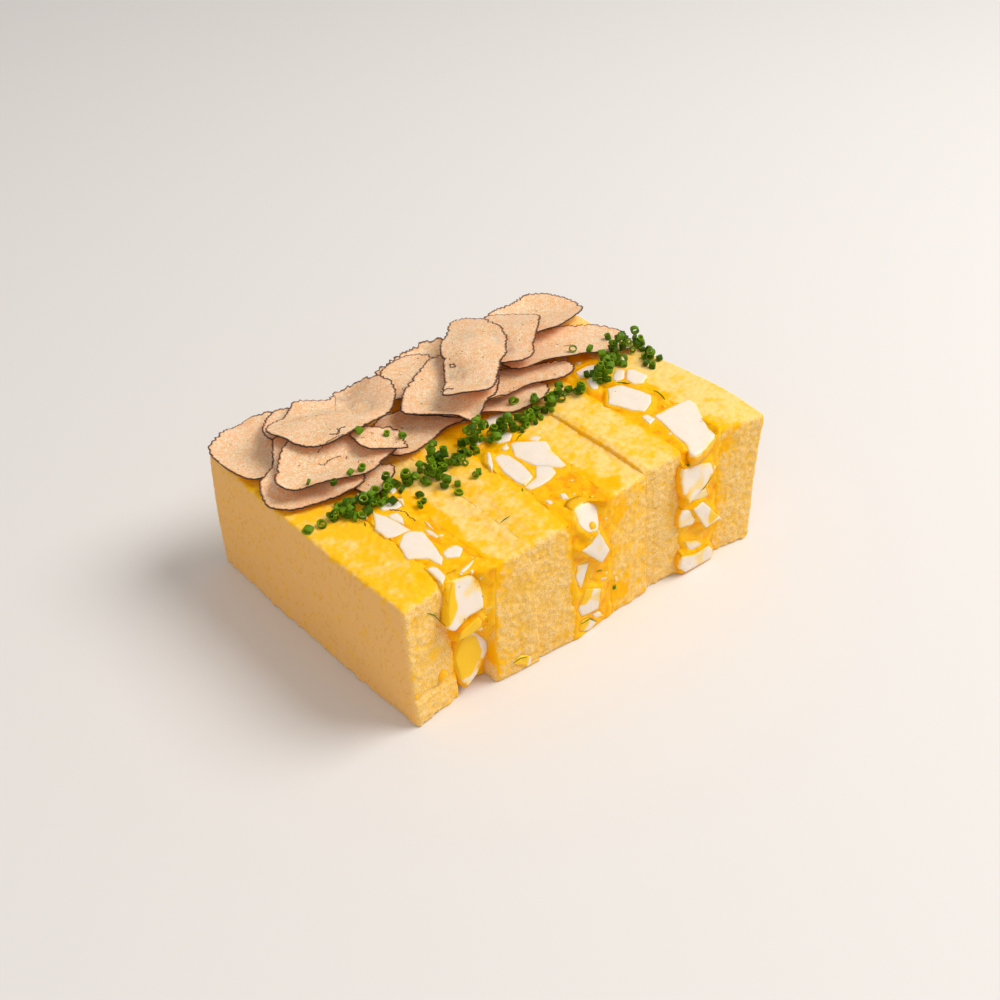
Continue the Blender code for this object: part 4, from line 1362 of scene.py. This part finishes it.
def make_chives(ground, look):
    draw = seeded("chives")
    band = np.array(CHIVE_BAND, float)
    walked = walk(band)
    stops = draw.uniform(0.0, walked[-1], CHIVES)
    places = np.stack([np.interp(stops, walked, band[:, axis]) for axis in (0, 1)], axis=1)
    places = np.concatenate([places + draw.normal(scale=CHIVE_STRAY, size=places.shape), LOOSE_CHIVES])
    parts, cuts, shades, piled = [], [], [], []
    for x, y in places:
        points, faces, cut, width = chive_ring(draw)
        tilt = draw.uniform(0.0, 0.45) if draw.random() < 0.5 else draw.uniform(1.1, 1.57)
        turn = Matrix.Rotation(draw.uniform(0, math.tau), 3, "Z") @ Matrix.Rotation(tilt, 3, "X")
        points = points @ np.array(turn).T
        base = [ground.meet("top", x + right, y + back) for right, back in CHIVE_FEET]
        level = np.mean(sorted(place[2] for place in base if place is not None)[-3:])
        for other_x, other_y, top in piled:
            if math.hypot(x - other_x, y - other_y) < 0.75 * width:
                level = max(level, top - 0.7)
        lifted = level - points[:, 2].min() - 0.2
        parts.append((points + (x, y, lifted), faces))
        piled.append((x, y, lifted + points[:, 2].max()))
        cuts.append(cut)
        shades.append(np.full(len(cut), draw.uniform(0.0, 1.0)))
    for x, z in CHIVE_BITS:
        points, faces, cut, _ = chive_ring(draw)
        parts.append((points * 0.6 + ground.meet("front", x, z), faces))
        cuts.append(cut)
        shades.append(np.full(len(cut), 0.4))
    piece = add_parts("chives", parts, look, "herb", cut=cuts, shade=shades)
    piece.data.set_sharp_from_angle(angle=math.radians(50.0))


def make_dill(ground, look):
    parts = []
    for side, threads in (("top", DILL_ON_TOP), ("front", DILL_AT_FRONT)):
        axis, sign = Egg.SIDES[side]
        for corners in threads:
            path = np.array([ground.meet(side, *place) for place in spread(corners, 9)])
            out = sign * path[:, axis]
            path[:, axis] = sign * (np.maximum(out, np.median(out)) + 0.12)
            parts.append(tube(path, DILL_RADIUS * np.sin(np.linspace(0.35, 2.8, len(path)))))
    add_parts("dill", parts, look, "herb", cut=0.15, shade=0.5)


def make_pepper(forms, ground, look):
    """Ground pepper on the egg and the bread beside it."""
    draw = seeded("pepper")
    directions, triangles = ball(2)
    places = [ground.meet("front", x, z) for x, z in FRONT_SPECKS]
    for number in range(SPECKS):
        form = list(forms.values())[number % 3]
        share = draw.uniform(-0.2, 1.2)
        y, z = draw.uniform(-50.0, 45.0), draw.uniform(3.0, 45.0)
        if number % 3:
            places.append(ground.meet("top", form.across(y, FILLING_LEVEL, share), y))
        else:
            places.append(ground.meet("front", form.across(-END, z, share), z))
    parts = [(place + directions * draw.uniform(0.08, 0.20, 3), triangles)
             for place in places if place is not None]
    add_parts("pepper", parts, look, "herb")


# Stage

def aim(thing, place, target, roll=0.0):
    thing.location = place
    turn = (Vector(target) - Vector(place)).to_track_quat("-Z", "Y").to_matrix()
    thing.rotation_euler = (turn @ Matrix.Rotation(roll, 3, "Z")).to_euler()


def make_stage():
    mesh = bpy.data.meshes.new("floor")
    mesh.from_pydata([(-3, -3, 0), (3, -3, 0), (3, 3, 0), (-3, 3, 0)], [], [(0, 1, 2, 3)])
    mesh.materials.append(Look("floor", FLOOR, 0.7, specular=0.3).finish())
    floor = add_object("floor", mesh)

    camera = add_object("camera", bpy.data.cameras.new("camera"))
    camera.data.lens = CAMERA_LENS
    camera.data.clip_start = 0.01
    place, target = ((np.array(point) + MIDDLE) * MM for point in (CAMERA_PLACE, CAMERA_AIM))
    aim(camera, place, target, CAMERA_ROLL)
    bpy.context.scene.camera = camera

    for name, (place, power, width, colour) in LIGHTS.items():
        light = bpy.data.lights.new(name, "AREA")
        light.shape = "DISK"
        light.size, light.energy, light.color = width, power, colour
        aim(add_object(name, light), place, LIGHT_AIM)
    world = bpy.data.worlds.new("studio")
    world.use_nodes = True
    world.node_tree.nodes["Background"].inputs["Color"].default_value = (*SKY, 1.0)
    world.node_tree.nodes["Background"].inputs["Strength"].default_value = SKY_STRENGTH
    bpy.context.scene.world = world
    bpy.context.scene.view_settings.view_transform = "Standard"


def build():
    make_stage()
    slices = {name: slice_form(name) for name in SLICES}
    forms = {name: filling_form(*[slices[one] for one in between]) for name, between in FILLINGS.items()}
    bread, sauce = bread_look(), sauce_look()
    white = egg_look("egg_white", EGG_WHITE, EGG_CREAM, 0.4)
    yolk = egg_look("egg_yolk", YOLK_COLOUR, SAUCE_PALE, 0.3)
    for name in SLICES:
        make_bread(name, slices, bread)
    draw = seeded("hidden_eggs")
    all_eggs = []
    for name, form in forms.items():
        eggs = shown_eggs(name) + hidden_eggs(form, draw)
        make_core(name, form, eggs, sauce)
        all_eggs += eggs
    bare = Ground()
    make_eggs(all_eggs, {WHITE: white, YOLK: yolk})
    make_egg_bits(forms, all_eggs, bare, white)
    truffle = truffle_look()
    for order in range(1, TRUFFLES + 1):
        make_truffle(order, truffle)
    ground = Ground()
    make_marks(ground, speck_look("truffle_crack", TRUFFLE_RIM, TRUFFLE_BROWN))
    herb = chive_look()
    make_chives(ground, herb)
    make_dill(ground, herb)
    make_pepper(forms, ground, speck_look("pepper", SPECK, TRUFFLE_BROWN))


build()
